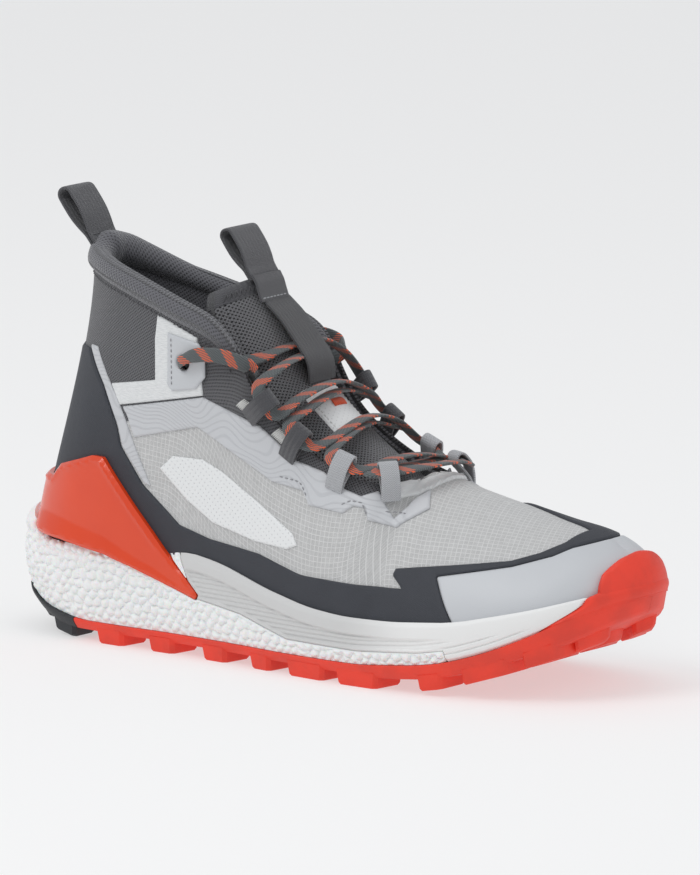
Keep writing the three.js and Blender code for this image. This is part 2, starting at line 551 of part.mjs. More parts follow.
// -------------------------------------------------------------- webbing ----
// A folded webbing loop on the eyestay: it lies on the film and reaches in over the throat edge.
const loopWebbing = { length: 17, overhang: 8, height: 6, thickness: 1.1, width: 7.6, lift: 0.9 };
function webbingLoop(side, u) {
  const { at, along, out, inward } = edgeFrame(side, u);
  const { length, overhang, height, thickness, width, lift } = loopWebbing;
  const body = new THREE.Shape();
  const round = height / 2;
  body.moveTo(overhang - length, 0).lineTo(overhang - round, 0);
  body.absarc(overhang - round, round, round, -Math.PI / 2, Math.PI / 2, false);
  body.lineTo(overhang - length, height);
  const eye = new THREE.Path();
  const inside = round - thickness;
  eye.absarc(overhang - round, round, inside, -Math.PI / 2, Math.PI / 2, false);
  eye.absarc(overhang - length + round + 4, round, inside, Math.PI / 2, (3 * Math.PI) / 2, false);
  body.holes.push(eye);
  const geometry = new THREE.ExtrudeGeometry(body, { depth: width, bevelEnabled: false, curveSegments: 4 });
  geometry.translate(0, 0, -width / 2);
  const origin = at.clone().addScaledVector(out, filmLayer[1] + lift);
  return placed(geometry, origin, inward, out, inward.clone().cross(out));
}
const loopPlaces = { d: 7.75, c: 8.9, b: 10.1, a: 11.35 };

// ---------------------------------------------------------------- tongue ----
// Centre line of the tongue's upper face in side view, from under the vamp to its top edge.
const tongueLine = [[213, 67], [206, 71], [199, 75.5], [188, 82], [176, 89.5], [164, 98], [153, 107], [143, 116.5],
  [134, 127], [127, 138], [121, 148], [116.5, 157]];
const tongueThickness = 4.5;
const tongueCurve = new THREE.CatmullRomCurve3(tongueLine.map(([x, z]) => grade([x, 0, z])));
const tongueSteps = 22;
const bendFrom = 16;
const bendTo = 18;
const tongueAt = (step) => {
  const t = step / tongueSteps;
  const along = tongueCurve.getTangentAt(t);
  return { at: tongueCurve.getPointAt(t), along, out: new THREE.Vector3(along.z, 0, -along.x) };
};
const tongueHalfWidth = (step) => {
  const t = step / tongueSteps;
  return 24.5 - 4 * THREE.MathUtils.smoothstep(0.25, 0, t) - 6 * THREE.MathUtils.smoothstep(t, 0.93, 1.02);
};
const crown = 12;
function tongueRing(step, near = 0, far = -tongueThickness, share = 1) {
  const { at, out } = tongueAt(step);
  const half = tongueHalfWidth(step) * share;
  const columns = Array.from({ length: 9 }, (_, k) => k / 4 - 1);
  const point = (a, lift) => {
    const drop = crown * (a * share) ** 2;
    const edge = lift === far ? 0.6 * (1 - Math.abs(a) ** 6) + 0.4 : 1;
    return at.clone().addScaledVector(out, lift * edge - drop).setY(a * half);
  };
  return [...columns.map((a) => point(a, near)), ...columns.reverse().map((a) => point(a, far))];
}
const ringsBetween = (from, to, ring) => Array.from({ length: to - from + 1 }, (_, k) => ring(from + k));
const tongueGap = clearance / (tongueCurve.getLength() / tongueSteps);
const tongueLower = skin([...ringsBetween(0, bendFrom - 1, tongueRing), tongueRing(bendFrom - tongueGap)]);
const tongueBend = skin([...ringsBetween(bendFrom, bendTo - 1, tongueRing), tongueRing(bendTo - tongueGap)]);
const tongueUpper = skin(ringsBetween(bendTo, tongueSteps - 1, tongueRing));
const tongueBinding = skin([
  tongueRing(tongueSteps - 1 + tongueGap, 0.8, -tongueThickness - 0.8),
  tongueRing(tongueSteps, 0.4, -tongueThickness - 0.4),
]);

// A strap that lies along the tongue at a height above it, as [step, height above the tongue].
function tongueStrap(places, thickness, yFrom, yTo) {
  const over = places.map(([step, lift]) => {
    const { at, out } = tongueAt(step);
    return at.addScaledVector(out, lift);
  });
  const under = places.map(([step, lift]) => {
    const { at, out } = tongueAt(step);
    return at.addScaledVector(out, lift - thickness);
  });
  const ring = (y) => [...over.map((p) => p.clone().setY(y)), ...[...under].reverse().map((p) => p.clone().setY(y))];
  return skin([ring(yFrom), ring(yTo)]);
}
const webbing = 1.2;
const centreStrap = tongueStrap([[20.4, 1.6], [19, 5], [17, 7.4], [15, 7.6], [14.5, 6], [13.9, 1.6]], webbing, -8, 11);
const patch = skin(ringsBetween(9, 13, (step) => tongueRing(step + 0.4, 1.1, 0.3, 0.5)));
const patchTack = tongueStrap([[11.4, 2.1], [11.95, 2.1]], 0.8, -3, 5);

// A pull loop: webbing folded on itself, closed round a finger gap, standing along a direction in side view.
function pullLoop({ foot, top, gap, thickness, width, y }) {
  const footAt = grade([foot[0], y, foot[1]]);
  const up = grade([top[0], y, top[1]]).sub(footAt);
  const length = up.length();
  const half = gap / 2 + thickness;
  const body = new THREE.Shape();
  body.moveTo(-thickness - 0.3, 0).lineTo(thickness + 0.3, 0).lineTo(half, length * 0.45).lineTo(half, length - half);
  body.absarc(0, length - half, half, 0, Math.PI, false);
  body.lineTo(-half, length * 0.45);
  const eye = new THREE.Path();
  eye.moveTo(0, 4).lineTo(-gap / 2, length * 0.45).lineTo(-gap / 2, length - half);
  eye.absarc(0, length - half, gap / 2, Math.PI, 0, true);
  eye.lineTo(gap / 2, length * 0.45);
  body.holes.push(eye);
  const geometry = new THREE.ExtrudeGeometry(body, { depth: width, bevelEnabled: false, curveSegments: 6 });
  geometry.translate(0, 0, -width / 2);
  const zAxis = new THREE.Vector3(0, 1, 0);
  const yAxis = up.normalize();
  return placed(geometry, footAt, yAxis.clone().cross(zAxis), yAxis, zAxis);
}
const tonguePull = { foot: [116.2, 158.1], top: [104, 176.4], gap: 6, thickness: webbing, width: 20, y: 0 };
const heelPull = { foot: [34.5, 165.6], top: [18, 187], gap: 6.4, thickness: 1.4, width: 19, y: 0 };

// ------------------------------------------------------------------ lace ----
// One lace, from its end tucked inside on the inner side to its end tucked inside on the outer side.
const laceWidth = 1.8;
const lacePoints = [
  [92, 24.5, 84], [106, 26, 95], [120, 27.5, 108], [130, 26.4, 117.5], [134.8, 31.2, 122], [131, 37.4, 125],
  [121, 41, 126.8], [112, 42, 126.6], [105, 41.4, 125], [102.8, 37.2, 123.8], [103.4, 32.8, 123.8],
  [107.8, 28.2, 123.4],
  [126, 27.2, 121.8],
  [132.5, 21.5, 123], [137, 14, 125.2], [139.3, 2, 126.2], [140.8, -12, 125.4], [142.4, -28, 122.6],
  [140.1, -36.9, 116.2], [148.3, -35.3, 106.2], [151, -24, 111], [153, -8, 115], [154, 6, 115], [155, 22, 108.5],
  [153.8, 32.8, 100.2], [164.8, 32, 93.2], [167.6, 6, 99.1], [170.5, -14, 97.4],
  [173.9, -32.4, 90.6], [186.1, -30.8, 86.4], [190, -10, 88.4], [191.2, 8, 87.8],
  [191.6, 29.6, 83], [203.4, 24.2, 83], [208.5, 10, 86.2], [208, -8, 87.2],
  [201.8, -20.3, 86.2], [192.3, -30.6, 85.6], [189.8, -12, 84.6], [189.4, 6, 84.1],
  [186, 30.5, 84.1], [174, 31.3, 88.7], [170.8, 18, 99], [169.2, 2, 102.4],
  [164.7, -33.3, 94.4], [153.9, -34.3, 101.6], [154.8, -20, 107.8], [153.6, 0, 111.4], [151, 18, 109],
  [148.2, 33.7, 104.1], [140.2, 35.3, 114.3], [139.2, 25.5, 124], [137, 15, 129.8], [136, 3, 130.4], [134, -9, 129],
  [130.6, -19.5, 126.4], [124, -27.8, 124.4], [108, -29.2, 124], [103.4, -34, 123.9], [102.6, -38.8, 123.8],
  [104.8, -42.6, 125], [112, -43.6, 128.3], [123, -42.6, 129.4], [131.4, -39, 127.2], [134.6, -32.4, 123.4], [130.6, -27.4, 118],
  [120, -28.2, 108], [106, -27, 95], [92, -25.5, 84],
].map((p) => new THREE.Vector3(...p));
const laceSection = new THREE.Shape(countUp(0, 7, 1).map((k) => {
  const angle = (Math.PI * (2 * k + 1)) / 8;
  return new THREE.Vector2(Math.cos(angle), Math.sin(angle)).multiplyScalar(laceWidth / 2);
}));
// The tube has one ring at each point, so it runs straight through every loop and eyelet.
class PointToPoint extends THREE.CatmullRomCurve3 {
  getPointAt(t, target) {
    return this.getPoint(t, target);
  }

  getTangentAt(t, target) {
    return this.getTangent(t, target);
  }
}
const lace = solidOf(new THREE.ExtrudeGeometry(laceSection, {
  steps: lacePoints.length - 1, bevelEnabled: false, extrudePath: new PointToPoint(lacePoints),
}));

// ------------------------------------------------------------- footbed ----
const insideLining = featherInset - liningLayer[0] + clearance;
const level = (over) => (x) => bed(x) + over;
const boardTop = clearance + boardThickness;
const strobelBoard = skin([
  soleRing(-insideLining, level(clearance)),
  soleRing(-insideLining, level(boardTop)),
]);
const sockliner = skin([
  soleRing(-insideLining - 0.6, level(boardTop + clearance)),
  soleRing(-insideLining - 1.2, level(boardTop + clearance + sockThickness)),
]);

// ------------------------------------------------------------- materials ----
const finish = (color, roughness, metalness = 0) => new THREE.MeshStandardMaterial({ color, roughness, metalness });
const redRubberFinish = finish('#e8412f', 0.6);
const blackRubberFinish = finish('#24272b', 0.7);
const foamFinish = finish('#f1f1f1', 0.8);
const frameFinish = finish('#d9d9d8', 0.7);
const clipFinish = finish('#e6481f', 0.25);
const ripstopFinish = finish('#c8c6c5', 0.85);
const meshFinish = finish('#5c5b60', 0.95);
const filmFinish = finish('#c6c8cd', 0.6);
const overlayFinish = finish('#dcdedd', 0.8);
const bandFinish = finish('#3b3f48', 0.75);
const webbingFinish = finish('#4a4a4e', 0.9);
const lightWebbingFinish = finish('#b9babb', 0.9);
const threadFinish = finish('#e9e9e6', 0.6);
const orangeThreadFinish = finish('#ea4a20', 0.7);
const laceFinish = finish('#4e5356', 0.9);
const boardFinish = finish('#bfb9ae', 0.95);
const liningFinish = finish('#1d1d20', 0.95);
const stiffenerFinish = finish('#8d8d90', 0.8);

// -------------------------------------------------------------- assembly ----
const boot = new THREE.Group();
function add(name, solid, material) {
  const mesh = new THREE.Mesh(geometryOf(solid), material);
  mesh.name = name;
  boot.add(mesh);
}

const redOutsole = join(redRubber, toeBlock, toeBumper);
add('outsole_heel', outsoleHeel, blackRubberFinish);
add('outsole_mid', redOutsole.intersect(behindFlex), redRubberFinish);
add('outsole_toe', redOutsole.intersect(aheadOfFlex), redRubberFinish);
add('midsole_foam', foam.intersect(behindFlex), foamFinish);
add('midsole_foam_toe', foam.intersect(aheadOfFlex), foamFinish);
add('midsole_frame', frame.intersect(behindFlex), frameFinish);
add('midsole_frame_toe', frame.intersect(aheadOfFlex), frameFinish);
add('heel_clip', heelClip, clipFinish);
add('strobel_board', strobelBoard, boardFinish);
add('sockliner', sockliner, liningFinish);

add('shaft_panel', shaftPanel, meshFinish);
add('quarter', lowerUpper.intersect(behindFlex), ripstopFinish);
add('vamp_flex_zone', lowerUpper.intersect(inFlex), ripstopFinish);
add('vamp_toe', lowerUpper.intersect(aheadOfFlex), ripstopFinish);
add('bootie_lining', lining, liningFinish);
add('heel_counter', heelCounter, stiffenerFinish);
add('toe_puff', toePuff, stiffenerFinish);
add('collar_roll', collarRoll, meshFinish);

add('mudguard', mudguard, bandFinish);
add('toe_film', toeFilm, filmFinish);
add('throat_strip', filmShell.intersect(throatStrip).intersect(sidePrism([[180, 74], [230, 74], [230, 90], [180, 90]])),
  overlayFinish);
const sides = [
  { word: 'outer', side: outer, half: outerSide, drop: 0 },
  { word: 'inner', side: inner, half: innerSide, drop: 2 },
];
sides.forEach(({ word, side, half, drop }) => {
  const film = (outline) => filmShell.intersect(half(raised(outline, 0, -drop)));
  add(`heel_strip_${word}`, filmShell.intersect(half(stripOutline)), overlayFinish);
  add(`ankle_overlay_${word}`, filmShell.intersect(half(ankleOutline)), overlayFinish);
  add(`eyelet_tab_${word}`, tabShell.intersect(half(tabOutline)), overlayFinish);
  add(`eyestay_film_${word}`, film(eyestayOutline).subtract(stripSpace), filmFinish);
  add(`side_panel_${word}`, film(panelOutline), overlayFinish);
  tackOutlines.forEach((outline, k) => add(`bar_tack_${word}_${k + 1}`, film(outline), threadFinish));
  Object.entries(loopPlaces).forEach(([letter, u]) => {
    const dark = letter === 'a' || letter === 'b';
    add(`lace_loop_${letter}_${word}`, webbingLoop(side, u), dark ? webbingFinish : lightWebbingFinish);
  });
});

add('tongue_pad', tongueLower, meshFinish);
add('tongue_bend_zone', tongueBend, meshFinish);
add('tongue_top', tongueUpper, meshFinish);
add('tongue_binding', tongueBinding, meshFinish);
add('tongue_strap', centreStrap, webbingFinish);
add('tongue_patch', patch, overlayFinish);
add('tongue_patch_tack', patchTack, orangeThreadFinish);
add('tongue_pull_loop', pullLoop(tonguePull), webbingFinish);
add('heel_pull_loop', pullLoop(heelPull), webbingFinish);
add('lace', lace, laceFinish);

// The origin is under the middle of the whole boot, on the ground.
const extent = new THREE.Box3().setFromObject(boot);
const middle = extent.getCenter(new THREE.Vector3());
boot.position.set(-middle.x, -middle.y, -extent.min.z);

export default boot;
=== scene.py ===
"""A mid-height hiking boot for the right foot: its looks, soft parts and lace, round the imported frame.

Shapes are worked out in millimetres in the drawn frame: X from the heel to the toe, Y to the inner side
of the foot, Z up from the ground. `piece` moves them to the frame's origin and into metres.
"""
import math

import bpy
import numpy as np
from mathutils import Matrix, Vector, kdtree


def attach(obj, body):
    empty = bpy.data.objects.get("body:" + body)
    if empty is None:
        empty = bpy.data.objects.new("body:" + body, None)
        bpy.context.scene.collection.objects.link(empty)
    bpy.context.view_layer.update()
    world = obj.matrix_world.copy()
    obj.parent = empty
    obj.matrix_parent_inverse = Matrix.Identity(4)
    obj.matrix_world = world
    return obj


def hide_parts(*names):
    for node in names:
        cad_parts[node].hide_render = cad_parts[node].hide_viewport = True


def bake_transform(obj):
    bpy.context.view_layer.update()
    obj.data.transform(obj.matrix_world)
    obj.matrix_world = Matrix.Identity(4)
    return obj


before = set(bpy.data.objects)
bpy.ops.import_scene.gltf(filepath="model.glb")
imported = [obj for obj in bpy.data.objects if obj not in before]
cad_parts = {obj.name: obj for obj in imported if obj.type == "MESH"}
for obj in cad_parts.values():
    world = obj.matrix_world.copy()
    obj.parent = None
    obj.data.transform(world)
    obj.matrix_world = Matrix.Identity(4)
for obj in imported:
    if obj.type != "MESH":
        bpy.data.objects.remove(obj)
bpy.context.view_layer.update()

MM = 0.001
ORIGIN = np.array([154.1, -2.0, 0.0])       # the frame's origin in the drawn frame
DETAIL = 1.0         # share of the full mesh density
OUTER, INNER = 0, 1
LAST_RIB = 20
RIDGE_END = 6


def smooth(x, low, high):
    """0 below low, 1 above high, smooth between."""
    t = np.clip((np.asarray(x, float) - low) / (high - low), 0, 1)
    return t * t * (3 - 2 * t)


def unit(v):
    return v / np.maximum(np.linalg.norm(v, axis=-1, keepdims=True), 1e-9)


# ------------------------------------------------------------------ the last ----
# Layers are distances out from the lasted surface.
CLEAR = 0.3
UPPER = (0.0, 1.2)
FILM = (1.25, 2.3)
TAB = (2.35, 3.5)
CLIP = (2.5, 5.2)
LINING = (-3.2, -1.7)
RIM_INSET = 2.6
RIM = 2.2
FEATHER = RIM_INSET + RIM
SEAT = 0.8

# sole outline x, y outer, y inner; top line outer and inner; rise, bulge, across, drop
RIBS = [
    (306, 6, 6, (288, 8, 57.5), (288, 8, 57.5), 11, 0, 7, 1),
    (300.5, -14, 25, (283, 8, 61), (283, 8, 61), 12, 1, 10, 1),
    (288, -32, 37.5, (273, 8, 64.5), (273, 8, 64.5), 14, 2, 16, 1.5),
    (268, -43, 44.5, (257, 7.5, 67), (257, 7.5, 67), 16, 2, 22, 2),
    (244, -49, 47, (237, 6, 71.5), (237, 6, 71.5), 19, 1.5, 25, 2),
    (221, -51, 47, (217, 5, 76.5), (217, 5, 76.5), 21, 1, 26, 2.5),
    (207, -51, 45.5, (203, 4, 81), (203, 4, 81), 22, 1, 26, 3),
    (195, -50.5, 43.5, (200, -14, 80.5), (201, 20, 77.5), 22, 1, 14, 6),
    (184, -49.5, 41.5, (193, -25, 79.5), (194, 26, 76.5), 23, 1, 8, 8),
    (168, -47.5, 38.5, (176, -29, 84), (176, 28, 82), 24, 1, 7, 14),
    (150, -45, 36, (158, -30, 93), (158, 28.5, 91.5), 26, 1, 6, 20),
    (132, -42, 34.5, (144, -31.5, 104), (144, 30, 102), 28, 1.5, 4, 24),
    (116, -40, 34, (134, -33.5, 117), (134, 32, 115), 30, 2, 2, 28),
    (102, -38.5, 34, (128, -35, 131), (128, 33.5, 125), 32, 3, 0, 32),
    (88, -37.5, 34.5, (117, -37, 143), (117, 35.5, 134), 33, 3, -1, 34),
    (72, -37, 35, (97, -36.5, 150.5), (97, 35, 141.5), 33, 3, -2, 36),
    (54, -35.5, 34, (77, -33, 156.5), (77, 32, 147.5), 32, 3, -2, 38),
    (34, -31.5, 30.5, (59, -26.5, 160.5), (59, 26, 153.5), 28, 3, -2, 40),
    (18, -23.5, 23, (44, -16, 163), (44, 16, 160), 22, 2, -2, 40),
    (10, -11.5, 11.5, (37, -7, 164), (37, 7, 163.5), 18, 1, -2, 40),
    (8, 0, 0, (35.5, 0, 164.5), (35.5, 0, 164.5), 16, 0, -2, 40),
]
SOLE = np.array([[(x, yo), (x, yi)] for x, yo, yi, *_ in RIBS], float)
TOP = np.array([[r[3], r[4]] for r in RIBS], float)
SHAPE = np.array([[r[5:9], r[5:9]] for r in RIBS], float)

BED = [[0, 36], [95, 36], [120, 34], [147, 28], [171, 24], [195, 22.5], [216, 23], [245, 26], [276, 32.5],
       [306, 43]]
GROUND = [[0, 16], [8, 11], [16, 7], [28, 2.5], [40, 0], [212, 0], [234, 2], [250, 6], [263, 10], [279, 16],
          [293, 22], [306, 31]]
RUBBER = [[0, 26], [10, 20], [25, 13], [46, 9], [162, 9], [200, 9.5], [230, 12.5], [243, 15], [260, 20.5],
          [277, 28], [291, 36], [306, 42]]
RIMLINE = [[0, 52], [13, 49], [22, 41], [60, 40], [92, 42], [104, 44.5], [122, 42], [147, 35], [171, 30],
           [191, 28.5], [216, 29], [245, 31.5], [276, 38.5], [306, 47]]


def height(line, x):
    """A level along the boot, with its corners rounded off."""
    points = np.array(line, float)
    reach = 5.0
    return sum(np.interp(np.asarray(x) + d, points[:, 0], points[:, 1]) for d in (-reach, 0, reach)) / 3


def spline(table, side, u):
    """Rows of a table at rib positions u; past each end the row carries on as the other side does."""
    rows, other = table[:, side], table[:, 1 - side]
    k = np.minimum(u.astype(int), LAST_RIB - 1)
    t = (u - k)[:, None]
    padded = np.vstack([other[1:2], rows, other[-2:-1]])
    p, a, b, n = padded[k], padded[k + 1], padded[k + 2], padded[k + 3]
    square = 2 * p - 5 * a + 4 * b - n
    cube = 3 * a - p - 3 * b + n
    return 0.5 * (2 * a + (b - p) * t + square * t ** 2 + cube * t ** 3)


def outline(side, u, offset=0.0):
    """The sole's outline at rib positions u, moved out by offset, and the way out of it."""
    step = 0.02
    here = spline(SOLE, side, u)
    way = spline(SOLE, side, np.minimum(u + step, LAST_RIB)) - spline(SOLE, side, np.maximum(u - step, 0))
    sign = -1 if side == OUTER else 1
    out = unit(np.stack([way[:, 1], -way[:, 0]], 1)) * sign
    for end, row, facing in ((0, 1, 1), (LAST_RIB, LAST_RIB - 1, -1)):
        across = SOLE[row, INNER] - SOLE[row, OUTER]
        out[u == end] = unit(np.array([across[1], -across[0]])) * facing
    return here + out * np.reshape(offset, (-1, 1)), out


def flat(xy, z):
    return np.column_stack([xy, np.broadcast_to(z, len(xy))])


def last_columns(side, u, r):
    """Points on the lasted surface, [rib position, place between the sole (0) and the top line (1)]."""
    foot2, out2 = outline(side, u, -FEATHER)
    foot = flat(foot2, height(BED, foot2[:, 0]) + SEAT)
    out = flat(out2, 0)
    top = spline(TOP, side, u)
    other = spline(TOP, 1 - side, u)
    joined = u < RIDGE_END
    top[joined] = (top[joined] + other[joined]) / 2
    rise, bulge, across, drop = spline(SHAPE, side, u).T
    to_foot = unit((foot - top) * [1, 1, 0])
    share = smooth(u, RIDGE_END + 1, RIDGE_END + 2)[:, None]
    out_top = unit(to_foot * (1 - share) + out * share)
    low = foot + out * bulge[:, None] + np.array([0, 0, 1]) * rise[:, None]
    high = top + out_top * across[:, None] - np.array([0, 0, 1]) * drop[:, None]
    r = r[None, :, None]
    return ((1 - r) ** 3 * foot[:, None] + 3 * (1 - r) ** 2 * r * low[:, None]
            + 3 * (1 - r) * r ** 2 * high[:, None] + r ** 3 * top[:, None])


def normals_of(points, faces):
    cross = np.cross(points[faces[:, 1]] - points[faces[:, 0]], points[faces[:, 2]] - points[faces[:, 0]])
    total = np.zeros_like(points)
    for k in range(3):
        np.add.at(total, faces[:, k], cross)
    return unit(total)


def grid_faces(ids):
    """Two triangles for each cell of a grid of vertex numbers, without the empty ones."""
    a, b, c, d = ids[:-1, :-1].ravel(), ids[:-1, 1:].ravel(), ids[1:, 1:].ravel(), ids[1:, :-1].ravel()
    faces = np.vstack([np.column_stack([a, b, c]), np.column_stack([a, c, d])])
    return faces[(faces[:, 0] != faces[:, 1]) & (faces[:, 1] != faces[:, 2]) & (faces[:, 2] != faces[:, 0])]


def rib_stations(spacing):
    """Rib positions, evenly spaced along the outline."""
    u = np.linspace(0, LAST_RIB, 4001)
    length = 0
    for side in (OUTER, INNER):
        at = spline(SOLE, side, u)
        length = length + np.concatenate([[0], np.cumsum(np.linalg.norm(np.diff(at, axis=0), axis=1))]) / 2
    marks = np.linspace(0, length[-1], int(length[-1] / spacing))
    return np.interp(marks, length, u)


def last_sheet(spacing, rows, below=()):
    """The lasted surface as one sheet. `below` carries it straight down past the sole's top."""
    u = rib_stations(spacing)
    r = np.linspace(0, 1, rows + 1)
    sides = [last_columns(side, u, r) for side in (OUTER, INNER)]
    ridge = u <= RIDGE_END
    over = np.concatenate([sides[OUTER][ridge], sides[INNER][ridge, -2::-1]], axis=1)
    weight = smooth(np.concatenate([r, r[-2::-1]]), 0.35, 1)[None, :, None]
    for _ in range(int(60 * (rows / 80) ** 2)):
        over[:, 1:-1] += 0.5 * weight[:, 1:-1] * ((over[:, :-2] + over[:, 2:]) / 2 - over[:, 1:-1])
    sides[OUTER][ridge] = over[:, :rows + 1]
    sides[INNER][ridge] = over[:, :rows - 1:-1]
    columns = np.concatenate([sides[OUTER], sides[INNER][-2:0:-1]])
    lower = [columns[:, :1] - np.array([0, 0, depth]) for depth in below]
    full = np.concatenate([*lower, columns], axis=1)
    count, tall = full.shape[:2]
    ids = np.arange(count * tall).reshape(count, tall)
    number = len(u)
    for k in np.flatnonzero(ridge)[1:]:
        ids[count - k, -1] = ids[k, -1]
    wrapped = np.vstack([ids, ids[:1]])
    points = full.reshape(-1, 3)
    faces = grid_faces(wrapped)
    steps = np.linalg.norm(np.diff(full, axis=1), axis=2)
    length = np.concatenate([np.zeros((count, 1)), np.cumsum(steps, axis=1)], 1)
    up = length - length[:, -1:]
    middle = full[:, tall // 2]
    along = np.concatenate([[0], np.cumsum(np.linalg.norm(np.diff(middle, axis=0), axis=1))])
    along[number:] = 2 * along[number - 1] - along[number:]
    turn = np.searchsorted(u, RIDGE_END)
    start = along[turn]
    toe = np.concatenate([u, u[-2:0:-1]]) < RIDGE_END
    table = np.broadcast_to(along[:, None], (count, tall)).copy()
    table[toe] = start - (full[toe, :, 0] - full[turn, :, 0][None])
    uv = np.stack([table, up], -1).reshape(-1, 2)
    inner = np.repeat(np.arange(count) >= number, tall)
    return tidy({"P": points, "N": normals_of(points, faces), "UV": uv, "F": faces,
                 "R": np.tile(np.concatenate([np.zeros(len(below)), r]), count), "I": inner.astype(float)})


def tidy(sheet):
    """Drops the points that no face uses."""
    used = np.unique(sheet["F"])
    number = np.full(len(sheet["P"]), -1)
    number[used] = np.arange(len(used))
    return {key: number[value] if key == "F" else value[used] for key, value in sheet.items()}


def clip(sheet, field):
    """The part of a sheet where field is at least 0, cut where it passes 0; "D" is the field kept."""
    f = np.where(np.abs(field) < 0.01, 0.0, field)
    inside = f >= 0
    faces = sheet["F"]
    count = inside[faces].sum(1)

    def turned(some, odd):
        first = odd.argmax(1)
        return np.take_along_axis(some, (first[:, None] + np.arange(3)) % 3, 1)

    one = turned(faces[count == 1], inside[faces[count == 1]])
    two = turned(faces[count == 2], ~inside[faces[count == 2]])
    pairs = np.vstack([one[:, [0, 1]], one[:, [0, 2]], two[:, [0, 1]], two[:, [0, 2]]])
    edges, which = np.unique(np.sort(pairs, axis=1), axis=0, return_inverse=True)
    which = which.reshape(-1) + len(f)
    a, b = edges.T
    t = f[a] / (f[a] - f[b])
    ab1, ac1 = which[:len(one)], which[len(one):2 * len(one)]
    ab2, ac2 = which[2 * len(one):2 * len(one) + len(two)], which[2 * len(one) + len(two):]
    made = {"F": np.vstack([
        faces[count == 3],
        np.column_stack([one[:, 0], ab1, ac1]),
        np.column_stack([ab2, two[:, 1], two[:, 2]]),
        np.column_stack([ab2, two[:, 2], ac2]),
    ])}
    for key, value in {**sheet, "D": f}.items():
        if key != "F":
            share = t.reshape(-1, *[1] * (value.ndim - 1))
            made[key] = np.concatenate([value, value[a] * (1 - share) + value[b] * share])
    made["N"] = unit(made["N"])
    return tidy(made)


def distance_in(outline_points, p2):
    """How far inside a closed outline each point is; negative outside."""
    corners = np.array(outline_points, float)
    best = np.full(len(p2), np.inf)
    crossings = np.zeros(len(p2), int)
    for a, b in zip(corners, np.roll(corners, -1, axis=0)):
        edge = b - a
        t = np.clip(((p2 - a) @ edge) / (edge @ edge), 0, 1)
        best = np.minimum(best, np.linalg.norm(p2 - a - t[:, None] * edge, axis=1))
        between = (a[1] > p2[:, 1]) != (b[1] > p2[:, 1])
        with np.errstate(divide="ignore", invalid="ignore"):
            crosses = p2[:, 0] < (b[0] - a[0]) * (p2[:, 1] - a[1]) / (b[1] - a[1]) + a[0]
        crossings += between & crosses
    return np.where(crossings % 2 == 1, best, -best)


def in_side(outline_points, drop=0.0):
    """A field from a side-view outline of [x, z] points."""
    return lambda s: distance_in(np.array(outline_points, float) - [0, drop], s["P"][:, [0, 2]])


def in_top(outline_points):
    return lambda s: distance_in(outline_points, s["P"][:, :2])


def on_half(side):
    return lambda s: (s["P"][:, 1] if side == INNER else -s["P"][:, 1]) - 1


def both(*fields):
    return lambda s: np.min([f(s) for f in fields], axis=0)


def without(field, *cuts):
    return lambda s: np.min([field(s)] + [-c(s) for c in cuts], axis=0)


def thicken(sheet, top, bottom):
    """A closed solid between two distances out from a sheet."""
    count = len(sheet["P"])
    top = np.broadcast_to(top, count)[:, None]
    bottom = np.broadcast_to(bottom, count)[:, None]
    points = np.vstack([sheet["P"] + sheet["N"] * top, sheet["P"] + sheet["N"] * bottom])
    faces = sheet["F"]
    edges = np.vstack([faces[:, [0, 1]], faces[:, [1, 2]], faces[:, [2, 0]]])
    free = edges[~np.isin(edges[:, 0] * count + edges[:, 1], edges[:, 1] * count + edges[:, 0])]
    a, b = free.T
    walls = np.vstack([np.column_stack([b, a, a + count]), np.column_stack([b, a + count, b + count])])
    return points, np.vstack([faces, faces[:, ::-1] + count, walls]), np.vstack([sheet["UV"]] * 2)


def rounded(sheet, layer, edge=0.8):
    """A layer whose outer face rounds down to its rim over `edge` millimetres."""
    share = 1 - np.clip(sheet["D"] / edge, 0, 1)
    return thicken(sheet, layer[0] + (layer[1] - layer[0]) * np.sqrt(1 - 0.9 * share ** 2), layer[0])


# ------------------------------------------------------------------ pieces ----
SHOWN = bpy.context.scene.collection


def mesh_object(name, points, faces, look, uv=None, sharp=40):
    """A mesh from drawn points in millimetres; faces is an array or a list of rows."""
    mesh = bpy.data.meshes.new(name)
    mesh.from_pydata(((np.asarray(points) - ORIGIN) * MM).tolist(), [], [list(map(int, f)) for f in faces])
    if uv is not None:
        layer = mesh.uv_layers.new(name="Surface")
        corners = np.empty(len(mesh.loops), int)
        mesh.loops.foreach_get("vertex_index", corners)
        layer.uv.foreach_set("vector", np.asarray(uv, np.float32)[corners].ravel())
    mesh.polygons.foreach_set("use_smooth", np.ones(len(mesh.polygons), bool))
    mesh.set_sharp_from_angle(angle=math.radians(sharp))
    mesh.materials.append(look)
    obj = bpy.data.objects.new(name, mesh)
    SHOWN.objects.link(obj)
    return obj


def settle(obj, body, nodes=()):
    """Says what a piece rides on, and hides the CAD nodes it stands for."""
    if body == "bends":
        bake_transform(obj)
    elif body == "tongue_bends":
        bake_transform(obj)
    else:
        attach(obj, body)
    if nodes:
        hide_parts(*nodes)
    return obj


def piece(name, solid, look, body, nodes=(), sharp=40):
    points, faces, uv = solid
    return settle(mesh_object(name, points, faces, look, uv, sharp), body, nodes)


def merged(*solids):
    points, faces, uvs, base = [], [], [], 0
    for p, f, uv in solids:
        points.append(p)
        if isinstance(f, np.ndarray):
            faces.extend((f + base).tolist())
        else:
            faces.extend([i + base for i in g] for g in f)
        uvs.append(uv)
        base += len(p)
    return np.vstack(points), faces, np.vstack(uvs)


